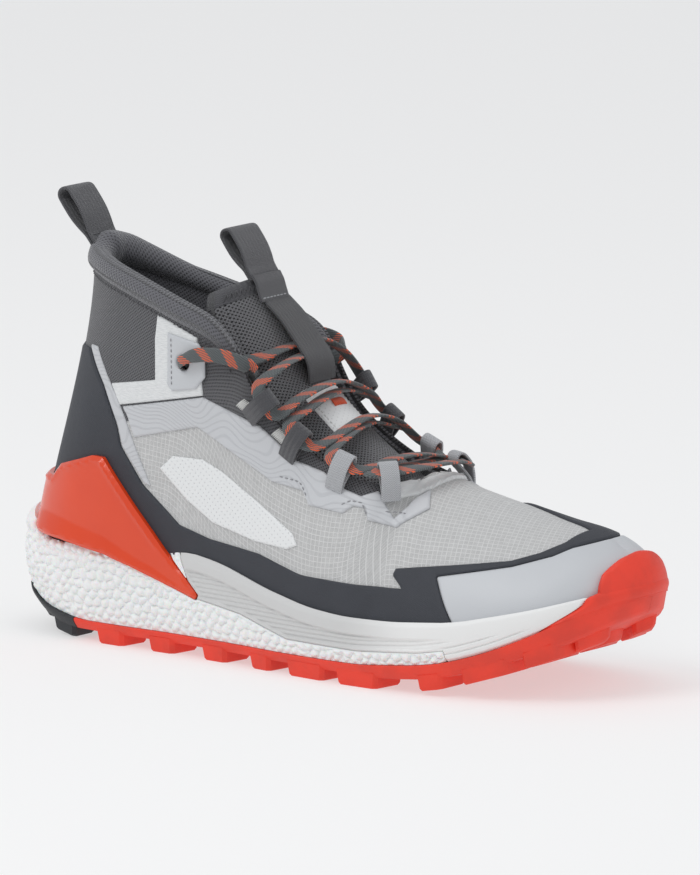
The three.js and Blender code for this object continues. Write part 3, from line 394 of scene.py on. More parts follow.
def tube(rings, uv_scale=(1.0, 1.0), ends=True):
    """A closed solid through a row of rings, each an array of points going round once."""
    rings = np.asarray(rings, float)
    rows, count = rings.shape[:2]
    ids = np.arange(rows * count).reshape(rows, count)
    ids = np.hstack([ids, ids[:, :1]])
    a, b, c, d = ids[:-1, :-1].ravel(), ids[:-1, 1:].ravel(), ids[1:, 1:].ravel(), ids[1:, :-1].ravel()
    faces = np.column_stack([a, b, c, d]).tolist()
    if ends:
        faces += [list(range(count))[::-1], list(range((rows - 1) * count, rows * count))]
    step = np.linalg.norm(np.diff(rings.mean(1), axis=0), axis=1)
    along = np.concatenate([[0], np.cumsum(step)])
    around = np.arange(count) / count
    pair = np.broadcast_arrays(along[:, None] * uv_scale[0], around[None] * uv_scale[1])
    uv = np.stack(pair, -1).reshape(-1, 2)
    return rings.reshape(-1, 3), faces, uv


# --------------------------------------------------------------- materials ----
class Look:
    """Builds one procedural material. Pattern coordinates are the "Surface" map, in millimetres."""

    def __init__(self, name, color, roughness, **shader):
        self.material = bpy.data.materials.new(name)
        self.material.use_nodes = True
        self.tree = self.material.node_tree
        self.shader = self.tree.nodes["Principled BSDF"]
        self.shader.inputs["Base Color"].default_value = (*color, 1)
        self.shader.inputs["Roughness"].default_value = roughness
        for key, value in shader.items():
            self.shader.inputs[key.replace("_", " ")].default_value = value
        self.color = color

    def node(self, kind, settings=None, **inputs):
        made = self.tree.nodes.new("ShaderNode" + kind)
        for key, value in (settings or {}).items():
            setattr(made, key, value)
        for key, value in inputs.items():
            by_number = key[0] == "i" and key[1:].isdigit()
            self.put(made.inputs[int(key[1:]) if by_number else key], value)
        return made.outputs[0]

    def put(self, socket, value):
        if isinstance(value, bpy.types.NodeSocket):
            self.tree.links.new(value, socket)
        else:
            socket.default_value = value

    def math(self, operation, a, b=0.0, c=0.0):
        return self.node("Math", {"operation": operation}, i0=a, i1=b, i2=c)

    def surface(self, across=1.0, along=1.0, turn=0.0):
        """The Surface map, scaled and turned, as two numbers."""
        uv = self.tree.nodes.new("ShaderNodeUVMap")
        uv.uv_map = "Surface"
        place = self.node("Mapping", Vector=uv.outputs[0], Rotation=(0, 0, turn), Scale=(across, along, 1))
        split = self.tree.nodes.new("ShaderNodeSeparateXYZ")
        self.put(split.inputs[0], place)
        return split.outputs[0], split.outputs[1], place

    def place(self):
        """Where a point is on the object, in metres."""
        return self.tree.nodes.new("ShaderNodeTexCoord").outputs["Object"]

    def noise(self, vector, scale, detail=3.0):
        return self.node("TexNoise", Vector=vector, Scale=scale, Detail=detail)

    def wave(self, value, period):
        """0 to 1 and back over each period."""
        turned = self.math("SINE", self.math("MULTIPLY", value, 2 * math.pi / period))
        return self.math("MULTIPLY_ADD", turned, 0.5, 0.5)

    def step(self, value, low, high):
        ranged = self.node("MapRange", {"interpolation_type": "SMOOTHSTEP"}, i0=value, i1=low, i2=high)
        return ranged

    def mix(self, share, a, b):
        made = self.tree.nodes.new("ShaderNodeMix")
        made.data_type = "RGBA"
        self.put(made.inputs[0], share)
        for socket, value in ((made.inputs[6], a), (made.inputs[7], b)):
            self.put(socket, value if isinstance(value, bpy.types.NodeSocket) else (*value, 1))
        return made.outputs[2]

    def tone(self, share, dark):
        """Darkens the base colour to `dark` of itself where share is 1."""
        self.paint(self.mix(share, self.color, tuple(c * dark for c in self.color)))

    def paint(self, color):
        self.put(self.shader.inputs["Base Color"], color)

    def rough(self, value, low, high):
        self.put(self.shader.inputs["Roughness"], self.node("MapRange", None, i0=value, i3=low, i4=high))

    def relief(self, height_value, depth, strength=1.0):
        """Bump from a height of 0 to 1, `depth` in millimetres."""
        bump = self.tree.nodes.new("ShaderNodeBump")
        bump.inputs["Strength"].default_value = strength
        bump.inputs["Distance"].default_value = depth * MM
        self.put(bump.inputs["Height"], height_value)
        self.put(self.shader.inputs["Normal"], bump.outputs[0])


def weave_height(look, period, across=1.0, turn=0.0):
    """A plain weave: threads pass over and under each other."""
    u, v, _ = look.surface(1, across, turn)
    a = look.wave(u, period)
    b = look.wave(v, period)
    waves = [look.math("SINE", look.math("MULTIPLY", way, math.pi / period)) for way in (u, v)]
    over = look.math("GREATER_THAN", look.math("MULTIPLY", *waves), 0.0)
    return look.math("ADD", look.math("MULTIPLY", over, a),
                     look.math("MULTIPLY", look.math("SUBTRACT", 1.0, over), b))


def ripstop():
    look = Look("ripstop", (0.60, 0.592, 0.575), 0.72, Sheen_Weight=0.25)
    u, v, vector = look.surface(1, 1, math.radians(12))
    lines = [look.step(look.wave(value, 2.1), 0.86, 1.0) for value in (u, v)]
    grid = look.math("MAXIMUM", *lines)
    fine = weave_height(look, 0.55, 1.0, math.radians(12))
    cloud = look.noise(vector, 0.35)
    body = look.mix(look.step(cloud, 0.3, 0.75), (0.53, 0.53, 0.525), (0.60, 0.60, 0.595))
    threads = look.mix(look.math("MULTIPLY", fine, 0.3), body, (0.42, 0.42, 0.42))
    look.paint(look.mix(look.math("MULTIPLY", grid, 0.8), threads, (0.76, 0.76, 0.755)))
    look.rough(fine, 0.6, 0.82)
    look.relief(look.math("ADD", look.math("MULTIPLY", fine, 0.45), look.math("MULTIPLY", grid, 0.8)), 0.16)
    return look.material


def mesh_knit(name, color, hole, pitch, depth=0.5):
    """Spacer mesh: staggered open holes between rounded threads."""
    look = Look(name, color, 0.85, Sheen_Weight=0.35)
    u, v, vector = look.surface(1, 1, 0)
    a = look.math("SINE", look.math("MULTIPLY", look.math("ADD", u, v), math.pi / pitch))
    b = look.math("SINE", look.math("MULTIPLY", look.math("SUBTRACT", u, v), math.pi / pitch))
    cells = look.math("ABSOLUTE", look.math("MULTIPLY", a, b))
    open_share = look.step(cells, 0.42, 0.72)
    threads = look.noise(vector, 3.2, 2.0)
    dark = tuple(c * 0.72 for c in color)
    light = tuple(min(1, c * 1.3) for c in color)
    shade = look.mix(look.step(threads, 0.3, 0.7), dark, light)
    look.paint(look.mix(open_share, shade, hole))
    fibre = look.math("MULTIPLY", look.wave(v, pitch / 3.0), 0.25)
    look.relief(look.math("ADD", look.math("SUBTRACT", 1.0, open_share), fibre), depth)
    look.rough(threads, 0.75, 0.95)
    return look.material


def knit(name, color, pitch=0.9):
    """A fine rib knit, as on the collar and the lining."""
    look = Look(name, color, 0.9, Sheen_Weight=0.5, Sheen_Roughness=0.4)
    u, v, vector = look.surface(1, 1, math.radians(45))
    loops = look.math("MULTIPLY", look.wave(u, pitch), look.wave(v, pitch))
    fuzz = look.noise(vector, 2.5, 4.0)
    light = tuple(c * 1.35 for c in color)
    dark = tuple(c * 0.55 for c in color)
    look.paint(look.mix(look.step(loops, 0.25, 0.85), light, dark))
    look.relief(look.math("ADD", look.math("MULTIPLY", loops, -1.0), look.math("MULTIPLY", fuzz, 0.4)), 0.35)
    return look.material


def embossed_film():
    """Smooth film with faint, wide-spaced embossed lines that wander."""
    look = Look("embossed film", (0.56, 0.57, 0.59), 0.45, Coat_Weight=0.06, Coat_Roughness=0.4)
    u, v, vector = look.surface(1, 1, 0)
    wobble = look.noise(look.surface(0.05, 0.05)[2], 1.0, 0.0)
    bent = look.math("ADD", v, look.math("MULTIPLY", wobble, 26.0))
    lines = look.step(look.wave(look.math("ADD", bent, look.math("MULTIPLY", u, 0.25)), 2.6), 0.7, 1.0)
    look.paint(look.mix(lines, (0.575, 0.585, 0.605), (0.52, 0.53, 0.55)))
    look.relief(lines, 0.10)
    look.rough(lines, 0.4, 0.52)
    return look.material


def overlay():
    look = Look("light overlay", (0.76, 0.775, 0.775), 0.6, Sheen_Weight=0.15)
    u, v, vector = look.surface(1, 1, math.radians(-38))
    streaks = look.noise(look.surface(0.35, 3.4, math.radians(-38))[2], 1.0, 4.0)
    fine = look.wave(v, 0.6)
    look.paint(look.mix(look.step(streaks, 0.35, 0.7), (0.80, 0.81, 0.81), (0.66, 0.675, 0.68)))
    look.relief(look.math("ADD", look.math("MULTIPLY", fine, 0.4), streaks), 0.14)
    look.rough(streaks, 0.5, 0.72)
    return look.material


def side_print():
    """The side panel: light, with rows of tiny blind perforations."""
    look = Look("side panel", (0.80, 0.81, 0.81), 0.5)
    u, v, vector = look.surface(1, 1, math.radians(35))
    a = look.wave(u, 2.0)
    b = look.wave(v, 2.0)
    dots = look.step(look.math("MULTIPLY", a, b), 0.84, 0.95)
    grain = look.noise(vector, 1.6, 4.0)
    look.paint(look.mix(dots, look.mix(grain, (0.78, 0.79, 0.79), (0.84, 0.85, 0.85)), (0.62, 0.63, 0.64)))
    look.relief(look.math("SUBTRACT", look.math("MULTIPLY", grain, 0.3), dots), 0.15)
    return look.material


def navy_film():
    look = Look("navy film", (0.036, 0.039, 0.050), 0.5)
    fine = weave_height(look, 0.5, 1.0, math.radians(30))
    cloud = look.noise(look.surface(1, 1)[2], 0.08, 2.0)
    base = look.mix(cloud, (0.030, 0.033, 0.042), (0.040, 0.044, 0.056))
    look.paint(look.mix(look.math("MULTIPLY", fine, 0.3), base, (0.06, 0.064, 0.075)))
    look.relief(fine, 0.08)
    look.rough(fine, 0.48, 0.66)
    return look.material


def toe_film_look():
    look = Look("toe film", (0.56, 0.575, 0.60), 0.42)
    grain = look.noise(look.surface(1, 1)[2], 2.2, 5.0)
    cloud = look.noise(look.place(), 22.0, 2.0)
    look.paint(look.mix(cloud, (0.535, 0.55, 0.575), (0.585, 0.60, 0.62)))
    look.relief(grain, 0.06)
    look.rough(grain, 0.36, 0.5)
    return look.material


def bead_foam():
    look = Look("bead foam", (0.90, 0.90, 0.895), 0.62, Subsurface_Weight=0.12, Subsurface_Scale=0.004)
    grain = look.noise(look.place(), 1500.0, 3.0)
    cloud = look.noise(look.place(), 60.0, 3.0)
    look.paint(look.mix(cloud, (0.87, 0.87, 0.865), (0.93, 0.93, 0.925)))
    look.relief(grain, 0.05)
    look.rough(grain, 0.5, 0.7)
    return look.material


def eva():
    look = Look("moulded frame", (0.72, 0.72, 0.71), 0.6)
    grain = look.noise(look.place(), 1900.0, 4.0)
    front = look.tree.nodes.new("ShaderNodeSeparateXYZ")
    look.put(front.inputs[0], look.place())
    share = look.step(front.outputs[0], 0.035, 0.075)
    look.paint(look.mix(share, (0.63, 0.63, 0.625), (0.84, 0.84, 0.83)))
    look.relief(grain, 0.04)
    look.rough(grain, 0.5, 0.68)
    return look.material


def rubber(name, color):
    look = Look(name, color, 0.55)
    grain = look.noise(look.place(), 1400.0, 4.0)
    wear = look.noise(look.place(), 90.0, 3.0)
    look.paint(look.mix(look.step(wear, 0.35, 0.7), color, tuple(min(1, c * 0.86 + 0.004) for c in color)))
    look.relief(grain, 0.07)
    look.rough(grain, 0.42, 0.66)
    return look.material


def clip_plastic():
    look = Look("clip plastic", (0.78, 0.055, 0.006), 0.3, Coat_Weight=0.25, Coat_Roughness=0.15)
    grain = look.noise(look.place(), 700.0, 2.0)
    cloud = look.noise(look.place(), 40.0, 2.0)
    look.paint(look.mix(cloud, (0.72, 0.048, 0.005), (0.80, 0.062, 0.008)))
    look.relief(grain, 0.01)
    look.rough(grain, 0.17, 0.28)
    return look.material


def webbing(name, color, ribs=0.75):
    """Woven tape: ribs across, fine herringbone along."""
    look = Look(name, color, 0.78, Sheen_Weight=0.35)
    u, v, vector = look.surface(1, 1)
    zigzag = look.math("PINGPONG", v, 1.1)
    ribbed = look.wave(look.math("ADD", u, zigzag), ribs)
    fuzz = look.noise(vector, 3.0, 3.0)
    look.paint(look.mix(ribbed, tuple(c * 0.6 for c in color), tuple(min(1, c * 1.25) for c in color)))
    look.relief(look.math("ADD", ribbed, look.math("MULTIPLY", fuzz, 0.3)), 0.18)
    look.rough(fuzz, 0.7, 0.9)
    return look.material


def lace_look():
    """A flat braid with groups of slanting orange flecks."""
    look = Look("lace braid", (0.085, 0.095, 0.10), 0.75, Sheen_Weight=0.3)
    u, v, vector = look.surface(1, 1)
    slant = look.math("ADD", look.math("MULTIPLY", u, 0.5), look.math("MULTIPLY", v, 1.35))
    strand = look.wave(slant, 1.25)
    across = look.math("SUBTRACT", look.math("MULTIPLY", u, 1.0), look.math("MULTIPLY", v, 1.1))
    cross = look.wave(across, 0.9)
    braid = look.mix(look.math("MULTIPLY", cross, 0.9), (0.038, 0.045, 0.048), (0.150, 0.168, 0.172))
    period = look.math("FRACT", look.math("DIVIDE", look.math("ADD", u, look.math("MULTIPLY", v, 0.9)), 11.5))
    group = look.math("MULTIPLY", look.step(period, 0.02, 0.06), look.step(period, 0.44, 0.40))
    flecks = look.math("MULTIPLY", group, look.step(strand, 0.42, 0.62))
    look.paint(look.mix(flecks, braid, (0.86, 0.13, 0.035)))
    look.relief(look.math("ADD", look.math("MULTIPLY", strand, 0.6), look.math("MULTIPLY", cross, 0.6)), 0.22)
    return look.material


def thread(name, color):
    look = Look(name, color, 0.5, Sheen_Weight=0.3)
    u, v, vector = look.surface(1, 1)
    twist = look.wave(look.math("ADD", u, v), 0.35)
    look.tone(look.math("MULTIPLY", twist, 0.5), 0.7)
    look.relief(twist, 0.08)
    return look.material


def plain_inner(name, color, scale):
    """Hidden inner sheets: a felt-like grain."""
    look = Look(name, color, 0.85)
    grain = look.noise(look.place(), scale, 5.0)
    look.tone(look.step(grain, 0.35, 0.7), 0.75)
    look.relief(grain, 0.1)
    return look.material


LOOKS = {
    "ripstop": ripstop(),
    "dark_mesh": mesh_knit("dark mesh", (0.125, 0.125, 0.136), (0.010, 0.010, 0.012), 1.5),
    "tongue_mesh": mesh_knit("tongue mesh", (0.150, 0.150, 0.160), (0.010, 0.010, 0.012), 1.8, 0.8),
    "collar_knit": knit("collar knit", (0.100, 0.100, 0.110), 1.4),
    "lining_knit": knit("lining knit", (0.095, 0.095, 0.104), 1.2),
    "film": embossed_film(),
    "overlay": overlay(),
    "panel": side_print(),
    "navy": navy_film(),
    "toe_film": toe_film_look(),
    "foam": bead_foam(),
    "eva": eva(),
    "red": rubber("red rubber", (0.88, 0.050, 0.022)),
    "black": rubber("black rubber", (0.022, 0.024, 0.029)),
    "clip": clip_plastic(),
    "webbing": webbing("dark webbing", (0.070, 0.070, 0.078)),
    "light_webbing": webbing("light webbing", (0.50, 0.51, 0.53)),
    "lace": lace_look(),
    "black_webbing": webbing("black webbing", (0.038, 0.038, 0.043)),
    "white_thread": thread("white thread", (0.80, 0.80, 0.78)),
    "grey_thread": thread("grey thread", (0.34, 0.34, 0.36)),
    "light_thread": thread("light thread", (0.42, 0.43, 0.45)),
    "dark_thread": thread("dark thread", (0.07, 0.07, 0.078)),
    "orange_thread": thread("orange thread", (0.86, 0.10, 0.02)),
    "board": plain_inner("insole board", (0.45, 0.41, 0.35), 400.0),
    "stiffener": plain_inner("stiffener", (0.30, 0.30, 0.31), 300.0),
}


# ------------------------------------------------------------------- upper ----
LAST = last_sheet(1.0 / DETAIL, int(90 * DETAIL))
WALLED = last_sheet(1.0 / DETAIL, int(90 * DETAIL), below=np.arange(16, 0, -1.0 / DETAIL))

SHAFT = [[-60, 95], [66, 94.5], [112, 104], [140, 95], [156, 83], [170, 79.5], [182, 74], [188, 72.5],
         [197, 75], [201, 79], [201, 200], [-60, 200]]
WINDOW = [[-60, 122.3], [45, 122.3], [57, 109], [66.5, 93], [69, 85], [81, 70], [100, 55], [116, 51],
          [143, 48], [166, 42], [195, 41], [217, 41.3], [211, 46], [211.5, 48.5], [259, 54.3], [268, 57.2],
          [273, 60], [277, 62.5], [277, 200], [-60, 200]]
BAND_FRONT = [[276, 6], [271.5, -25], [400, -25], [400, 60], [214, 60], [214, 37], [228, 24], [243, 15]]
TOE_SIDE = [[231.6, 46.8], [233, 47.2], [261, 52.3], [274, 56.3], [278.5, 59], [289, 62], [290, 90],
            [400, 90], [400, 20], [243, 20], [243, 31]]
TOE_TOP = [[288, 8], [277.5, -24], [400, -24], [400, 40], [280, 36], [276, 30]]
STRIP = [[46, 124], [51, 124], [58, 115], [65.5, 105.5], [71, 97], [76.5, 86], [85, 70], [82, 70.6],
         [69.8, 85], [67.2, 93.2], [57.6, 109.4], [46, 122.8]]
ANKLE = [[91, 150], [109, 150], [111, 131], [113, 111], [68, 102.2], [62.5, 110.5], [88, 115], [88, 133]]
EYESTAY = [[72.5, 98], [69.5, 101.7], [113, 110.3], [139, 100.6], [156, 87.5], [170, 83.5], [180, 77.5],
           [188, 75], [196, 78], [199, 80], [205, 80], [213, 70], [204, 63], [193, 66], [191, 70.5], [186, 71],
           [182, 68], [166, 70], [162, 75.5], [147, 78], [110, 97.5], [78, 90], [76.5, 89.5]]
PANEL = [[90, 78], [97, 84], [112, 84], [122, 80], [160, 58], [163, 53.5], [158, 51.5], [140, 53], [118, 58],
         [104, 66]]
TACKS = [
    [[129.5, 108.6], [131.3, 110.8], [140.5, 104.2], [138.7, 102]],
    [[145.2, 97.4], [147, 99.6], [156.8, 92.2], [155, 90]],
]
TAB_SHAPE = [[96, 136], [112, 133], [115, 129], [115, 119], [110, 113.5], [98, 111.5], [95.5, 114]]
THROAT = [[194.5, -25.5], [202, -6], [204.6, 4], [204.6, 12], [196, 26], [202.5, 26], [209.5, 12],
          [209.5, 2], [208, -8], [201, -26]]
EYELET = (104.0, 124.0, 3.2)


def beyond_eyelet(s):
    x, z, radius = EYELET
    return np.hypot(s["P"][:, 0] - x, s["P"][:, 2] - z) - radius


def in_toe(s):
    over = np.minimum(distance_in(TOE_TOP, s["P"][:, :2]), s["P"][:, 2] - 58)
    return np.maximum(distance_in(TOE_SIDE, s["P"][:, [0, 2]]), over)


def window(s):
    return np.minimum(in_side(WINDOW)(s), -in_top(BAND_FRONT)(s))


def side_patch(outline_points, side, spacing):
    """A finer piece of one side of the last, round a side-view outline."""
    corners = np.array(outline_points, float)
    rough = last_columns(side, np.linspace(0, LAST_RIB, 161), np.linspace(0, 1, 41))
    near = ((rough[..., 0] > corners[:, 0].min() - 4) & (rough[..., 0] < corners[:, 0].max() + 4)
            & (rough[..., 2] > corners[:, 1].min() - 6) & (rough[..., 2] < corners[:, 1].max() + 6))
    cols, rows = np.flatnonzero(near.any(1)), np.flatnonzero(near.any(0))
    u0, u1 = cols[0] / 8, cols[-1] / 8
    r0, r1 = rows[0] / 40, rows[-1] / 40
    width = np.linalg.norm(rough[cols[-1], rows[0]] - rough[cols[0], rows[0]])
    tall = np.linalg.norm(rough[cols[0], rows[-1]] - rough[cols[0], rows[0]])
    u = np.linspace(u0, u1, max(8, int(width / spacing)))
    r = np.linspace(r0, r1, max(8, int(tall / spacing)))
    points = last_columns(side, u, r)
    ids = np.arange(points.size // 3).reshape(points.shape[:2])
    faces = grid_faces(ids)
    if side == INNER:
        faces = faces[:, ::-1]
    flatp = points.reshape(-1, 3)
    return {"P": flatp, "N": normals_of(flatp, faces), "UV": flatp[:, [0, 2]].copy(), "F": faces,
            "R": np.tile(r, len(u)), "I": np.full(len(flatp), float(side))}


def upper_pieces():
    lower = clip(LAST, -in_side(SHAFT)(LAST))
    piece("ripstop_upper", thicken(lower, UPPER[1], UPPER[0]), LOOKS["ripstop"], "bends",
          ("quarter", "vamp_flex_zone", "vamp_toe"))
    shaft = clip(LAST, np.minimum(in_side(SHAFT)(LAST), beyond_eyelet(LAST)))
    piece("mesh_shaft", thicken(shaft, UPPER[1] + 0.1, UPPER[0]), LOOKS["dark_mesh"], "bends",
          ("shaft_panel",))
    lining = clip(LAST, beyond_eyelet(LAST))
    piece("lining", thicken(lining, LINING[1], LINING[0]), LOOKS["lining_knit"], "bends",
          ("bootie_lining",))
    toe = clip(LAST, in_toe(LAST))
    piece("toe_cap_film", rounded(toe, (FILM[0], FILM[1] - 0.1)), LOOKS["toe_film"], "bends",
          ("toe_film",))
    band = clip(LAST, np.minimum(-window(LAST), -in_toe(LAST) - 0.25))
    piece("navy_band", rounded(band, FILM), LOOKS["navy"], "bends", ("mudguard",))
    strip = clip(LAST, np.minimum(in_top(THROAT)(LAST), LAST["P"][:, 2] - 74))
    piece("throat_trim", rounded(strip, (FILM[0], FILM[1] + 0.3)), LOOKS["overlay"], "bends",
          ("throat_strip",))


THROAT_SPACE = [[193.5, -26.5], [201, -6], [203, 4], [203, 12], [194, 27], [203.5, 27], [210.2, 12.3],
                [210.2, 1.8], [208.7, -8.3], [201.5, -26.8]]
SIDE_WORDS = {OUTER: "outer", INNER: "inner"}
FINE = 0.45 / DETAIL


def side_films(side):
    word = SIDE_WORDS[side]
    drop = 2.0 if side == INNER else 0.0

    top_line = TOP[13:17, side][::-1]

    def below_collar(s):
        return np.interp(s["P"][:, 0], top_line[:, 0], top_line[:, 2]) - ROLL_HEIGHT - 0.8 - s["P"][:, 2]

    def film(outline_points, layer, lower=drop, edge=0.8, *cuts):
        moved = [[x, z - lower] for x, z in outline_points]
        sheet = side_patch(moved, side, FINE)
        field = without(both(in_side(moved), beyond_eyelet, on_half(side), below_collar), *cuts)
        return rounded(clip(sheet, field(sheet)), layer, edge)

    piece(f"ankle_film_{word}", film(ANKLE, FILM, 0.0), LOOKS["overlay"], "rearfoot",
          (f"ankle_overlay_{word}",))
    piece(f"heel_flash_{word}", film(STRIP, (FILM[0], FILM[1] - 0.2), 0.0), LOOKS["film"], "rearfoot",
          (f"heel_strip_{word}",))
    piece(f"eyelet_plate_{word}", film(TAB_SHAPE, TAB, 0.0, 1.2), LOOKS["toe_film"], "rearfoot",
          (f"eyelet_tab_{word}",))
    piece(f"lacing_film_{word}", film(EYESTAY, FILM, drop, 0.9, in_top(THROAT_SPACE)), LOOKS["film"], "bends",
          (f"eyestay_film_{word}",))
    piece(f"flank_panel_{word}", film(PANEL, (FILM[0], FILM[1] - 0.2)), LOOKS["panel"], "rearfoot",
          (f"side_panel_{word}",))


# ----------------------------------------------------------------- stitches ----
def surface_at(side, x, z):
    """The point of one side of the last that shows at x, z in side view, and its normal."""
    sheet = SIDE_TREES[side]
    rows = [sheet["tree"].find((a, b, 0))[1] for a, b in zip(x, z)]
    picked = sheet["ids"][rows]
    offset = np.column_stack([x, np.zeros(len(x)), z]) - LAST["P"][picked] * [1, 0, 1]
    points = LAST["P"][picked] + offset
    normals = LAST["N"][picked]
    points[:, 1] -= (offset * normals).sum(1) / np.where(np.abs(normals[:, 1]) > 0.2, normals[:, 1], np.inf)
    return points, normals


def make_trees():
    trees = {}
    for side in (OUTER, INNER):
        half = LAST["P"][:, 1] * (1 if side == INNER else -1) > 1
        ids = np.flatnonzero(half)
        tree = kdtree.KDTree(len(ids))
        for number, k in enumerate(ids):
            tree.insert((LAST["P"][k, 0], LAST["P"][k, 2], 0), number)
        tree.balance()
        trees[side] = {"tree": tree, "ids": ids}
    return trees


SIDE_TREES = make_trees()


def resampled(points, spacing, closed=False):
    """Points evenly spaced along a polyline."""
    points = np.asarray(points, float)
    if closed:
        points = np.vstack([points, points[:1]])
    length = np.concatenate([[0], np.cumsum(np.linalg.norm(np.diff(points, axis=0), axis=1))])
    count = max(2, int(round(length[-1] / spacing)) + 1)
    marks = np.linspace(0, length[-1], count)
    if closed:
        marks = marks[:-1]
    return np.column_stack([np.interp(marks, length, points[:, k]) for k in range(points.shape[1])])


def stitch(start, end, up, radius, sag=0.35):
    """One stitch: a short round thread that arches over and dips in at both ends."""
    way = end - start
    length = np.linalg.norm(way)
    along = way / max(length, 1e-6)
    across = unit(np.cross(up, along))
    rings = []
    for t in np.linspace(0, 1, 6):
        arch = math.sin(math.pi * t) * sag
        width = radius * (0.55 + 0.45 * math.sin(math.pi * t))
        centre = start + way * t + up * (arch - 0.1)
        rings.append([centre + (across * math.cos(a) + up * math.sin(a)) * width
                      for a in np.linspace(0, 2 * math.pi, 6, endpoint=False)])
    return tube(rings)


def stitch_rows(points, normals, length=2.0, gap=0.8, radius=0.32, sag=0.3):
    """Stitches along evenly spaced points that lie `length + gap` apart."""
    solids = []
    share = length / (length + gap)
    for a, b, n in zip(points[:-1], points[1:], normals[:-1]):
        solids.append(stitch(a, a + (b - a) * share, n, radius, sag))
    return solids


def line_on_side(side, line, lift, spacing=2.8, closed=False):
    """Points and normals on the last under a side-view line."""
    marks = resampled(line, spacing, closed)
    if closed:
        marks = np.vstack([marks, marks[:1]])
    points, normals = surface_at(side, marks[:, 0], marks[:, 1])
    return points + normals * lift, normals


TACK_REACH = 0.9


def bar_tack(side, corners, lift):
    """Dense satin stitches across a narrow four-cornered bar."""
    a, b, c, d = (np.array(p, float) for p in corners)
    count = int(np.linalg.norm(c - b) / 0.75)
    solids = []
    for k in range(count):
        t0, t1 = (k + 0.1) / count, (k + 0.75) / count
        ends = np.array([a + (d - a) * t0, b + (c - b) * t1])
        ends += unit(ends - ends[::-1]) * TACK_REACH
        points, normals = surface_at(side, ends[:, 0], ends[:, 1])
        start, end = points + normals * lift
        solids.append(stitch(start, end, unit(normals.sum(0)), 0.42, 0.55))
    return merged(*solids)


def side_stitching(side):
    word = SIDE_WORDS[side]
    drop = 2.0 if side == INNER else 0.0
    for k, corners in enumerate(TACKS):
        moved = [[x, z - drop] for x, z in corners]
        piece(f"satin_tack_{word}_{k + 1}", bar_tack(side, moved, UPPER[1] + 0.3), LOOKS["white_thread"],
              "rearfoot", (f"bar_tack_{word}_{k + 1}",), 60)
    rows = []
    points, normals = line_on_side(side, [[98.4, 134], [98.4, 113.6]], TAB[1] - 0.05, 2.3)
    rows += stitch_rows(points, normals, 1.8, 0.7, 0.26)
    loops = [
        [[192, 66.2], [189.5, 70.4], [184.5, 71], [180.4, 68.9]],
        [[164.5, 71.6], [160.8, 76.8], [150, 78.6]],
        [[206, 65.5], [197, 67.2]],
    ]
    for line in loops:
        moved = [[x, z - drop + 1.9] for x, z in line]
        points, normals = line_on_side(side, moved, FILM[1] - 0.05, 2.5)
        rows += stitch_rows(points, normals, 1.8, 0.7, 0.28)
    piece(f"film_stitching_{word}", merged(*rows), LOOKS["grey_thread"], "rearfoot", (), 60)


# ------------------------------------------------------------------ collar ----
def edge_frames(side, u, r=1.0):
    """Along the top line: place, way along, way out of the surface and way in over the edge."""
    step = 0.01
    u = np.atleast_1d(np.asarray(u, float))
    low, high = np.maximum(u - step, 0), np.minimum(u + step, LAST_RIB)
    at = last_columns(side, u, np.array([r]))[:, 0]
    along = unit(last_columns(side, high, np.array([r]))[:, 0] - last_columns(side, low, np.array([r]))[:, 0])
    rise = unit(last_columns(side, u, np.array([min(r + step, 1)]))[:, 0]
                - last_columns(side, u, np.array([r - step]))[:, 0])
    out = unit(np.cross(along, rise)) * (-1 if side == OUTER else 1)
    inward = unit(rise - along * (rise * along).sum(1, keepdims=True))
    return at, along, out, inward


ROLL_FROM = 13.0
ROLL_HEIGHT = 9.5
ROLL_WIDTH = 10.0


HEEL_RAISE = 4.5
HEEL_SWELLING = 3.0


def collar_ring(side, u, sides=28):
    """Rings of the padded roll; at the heel it swells and rises, and sooner on the inner side."""
    at, _, out, _ = edge_frames(side, u)
    level = unit(out * [1, 1, 0])
    heel = smooth(u, 16.4, 18.6) if side == INNER else smooth(u, 18.2, 19.9)
    taper = 0.55 + 0.45 * smooth(u, ROLL_FROM, ROLL_FROM + 2)
    angle = np.linspace(0, 2 * math.pi, sides, endpoint=False)
    fat = 1 - 0.16 * smooth(-np.sin(angle), 0.3, 1.0)
    wide = (ROLL_WIDTH * taper + HEEL_SWELLING * heel)[:, None, None] / 2
    swell = np.cos(angle)[None, :, None] * fat[None, :, None]
    rings = at[:, None] + level[:, None] * (swell * wide - 1 - 1.6 * heel[:, None, None])
    tall = (ROLL_HEIGHT + HEEL_RAISE * heel)[:, None] / 2
    rings[..., 2] += HEEL_RAISE * heel[:, None] - tall + np.sin(angle)[None] * tall
    return rings


def below_top(side, u, depth):
    """The points of the lasted surface `depth` below the top line, and the way out there."""
    r = np.linspace(0.6, 1, 81)
    columns = last_columns(side, u, r)
    row = np.argmin(np.abs(columns[:, -1:, 2] - depth - columns[..., 2]), axis=1)
    _, _, out, _ = edge_frames(side, u, 0.9)
    return columns[np.arange(len(u)), row], out


def collar():
    u = rib_stations(1.6 / DETAIL)
    u = u[u >= ROLL_FROM]
    u[-1] = LAST_RIB
    rings = np.concatenate([collar_ring(OUTER, u), collar_ring(INNER, u)[::-1][1:]])
    roll = piece("padded_collar", tube(rings, (1.0, 30.0)), LOOKS["collar_knit"], "rearfoot",
                 ("collar_roll",))
    seam = []
    for side in (OUTER, INNER):
        marks = resampled(np.hstack(below_top(side, u, ROLL_HEIGHT + 0.9)), 2.8)
        seam += stitch_rows(marks[:, :3] + marks[:, 3:] * (UPPER[1] + 0.2), unit(marks[:, 3:]), 2.1, 0.7, 0.3)
    piece("collar_seam", merged(*seam), LOOKS["dark_thread"], "rearfoot", (), 60)


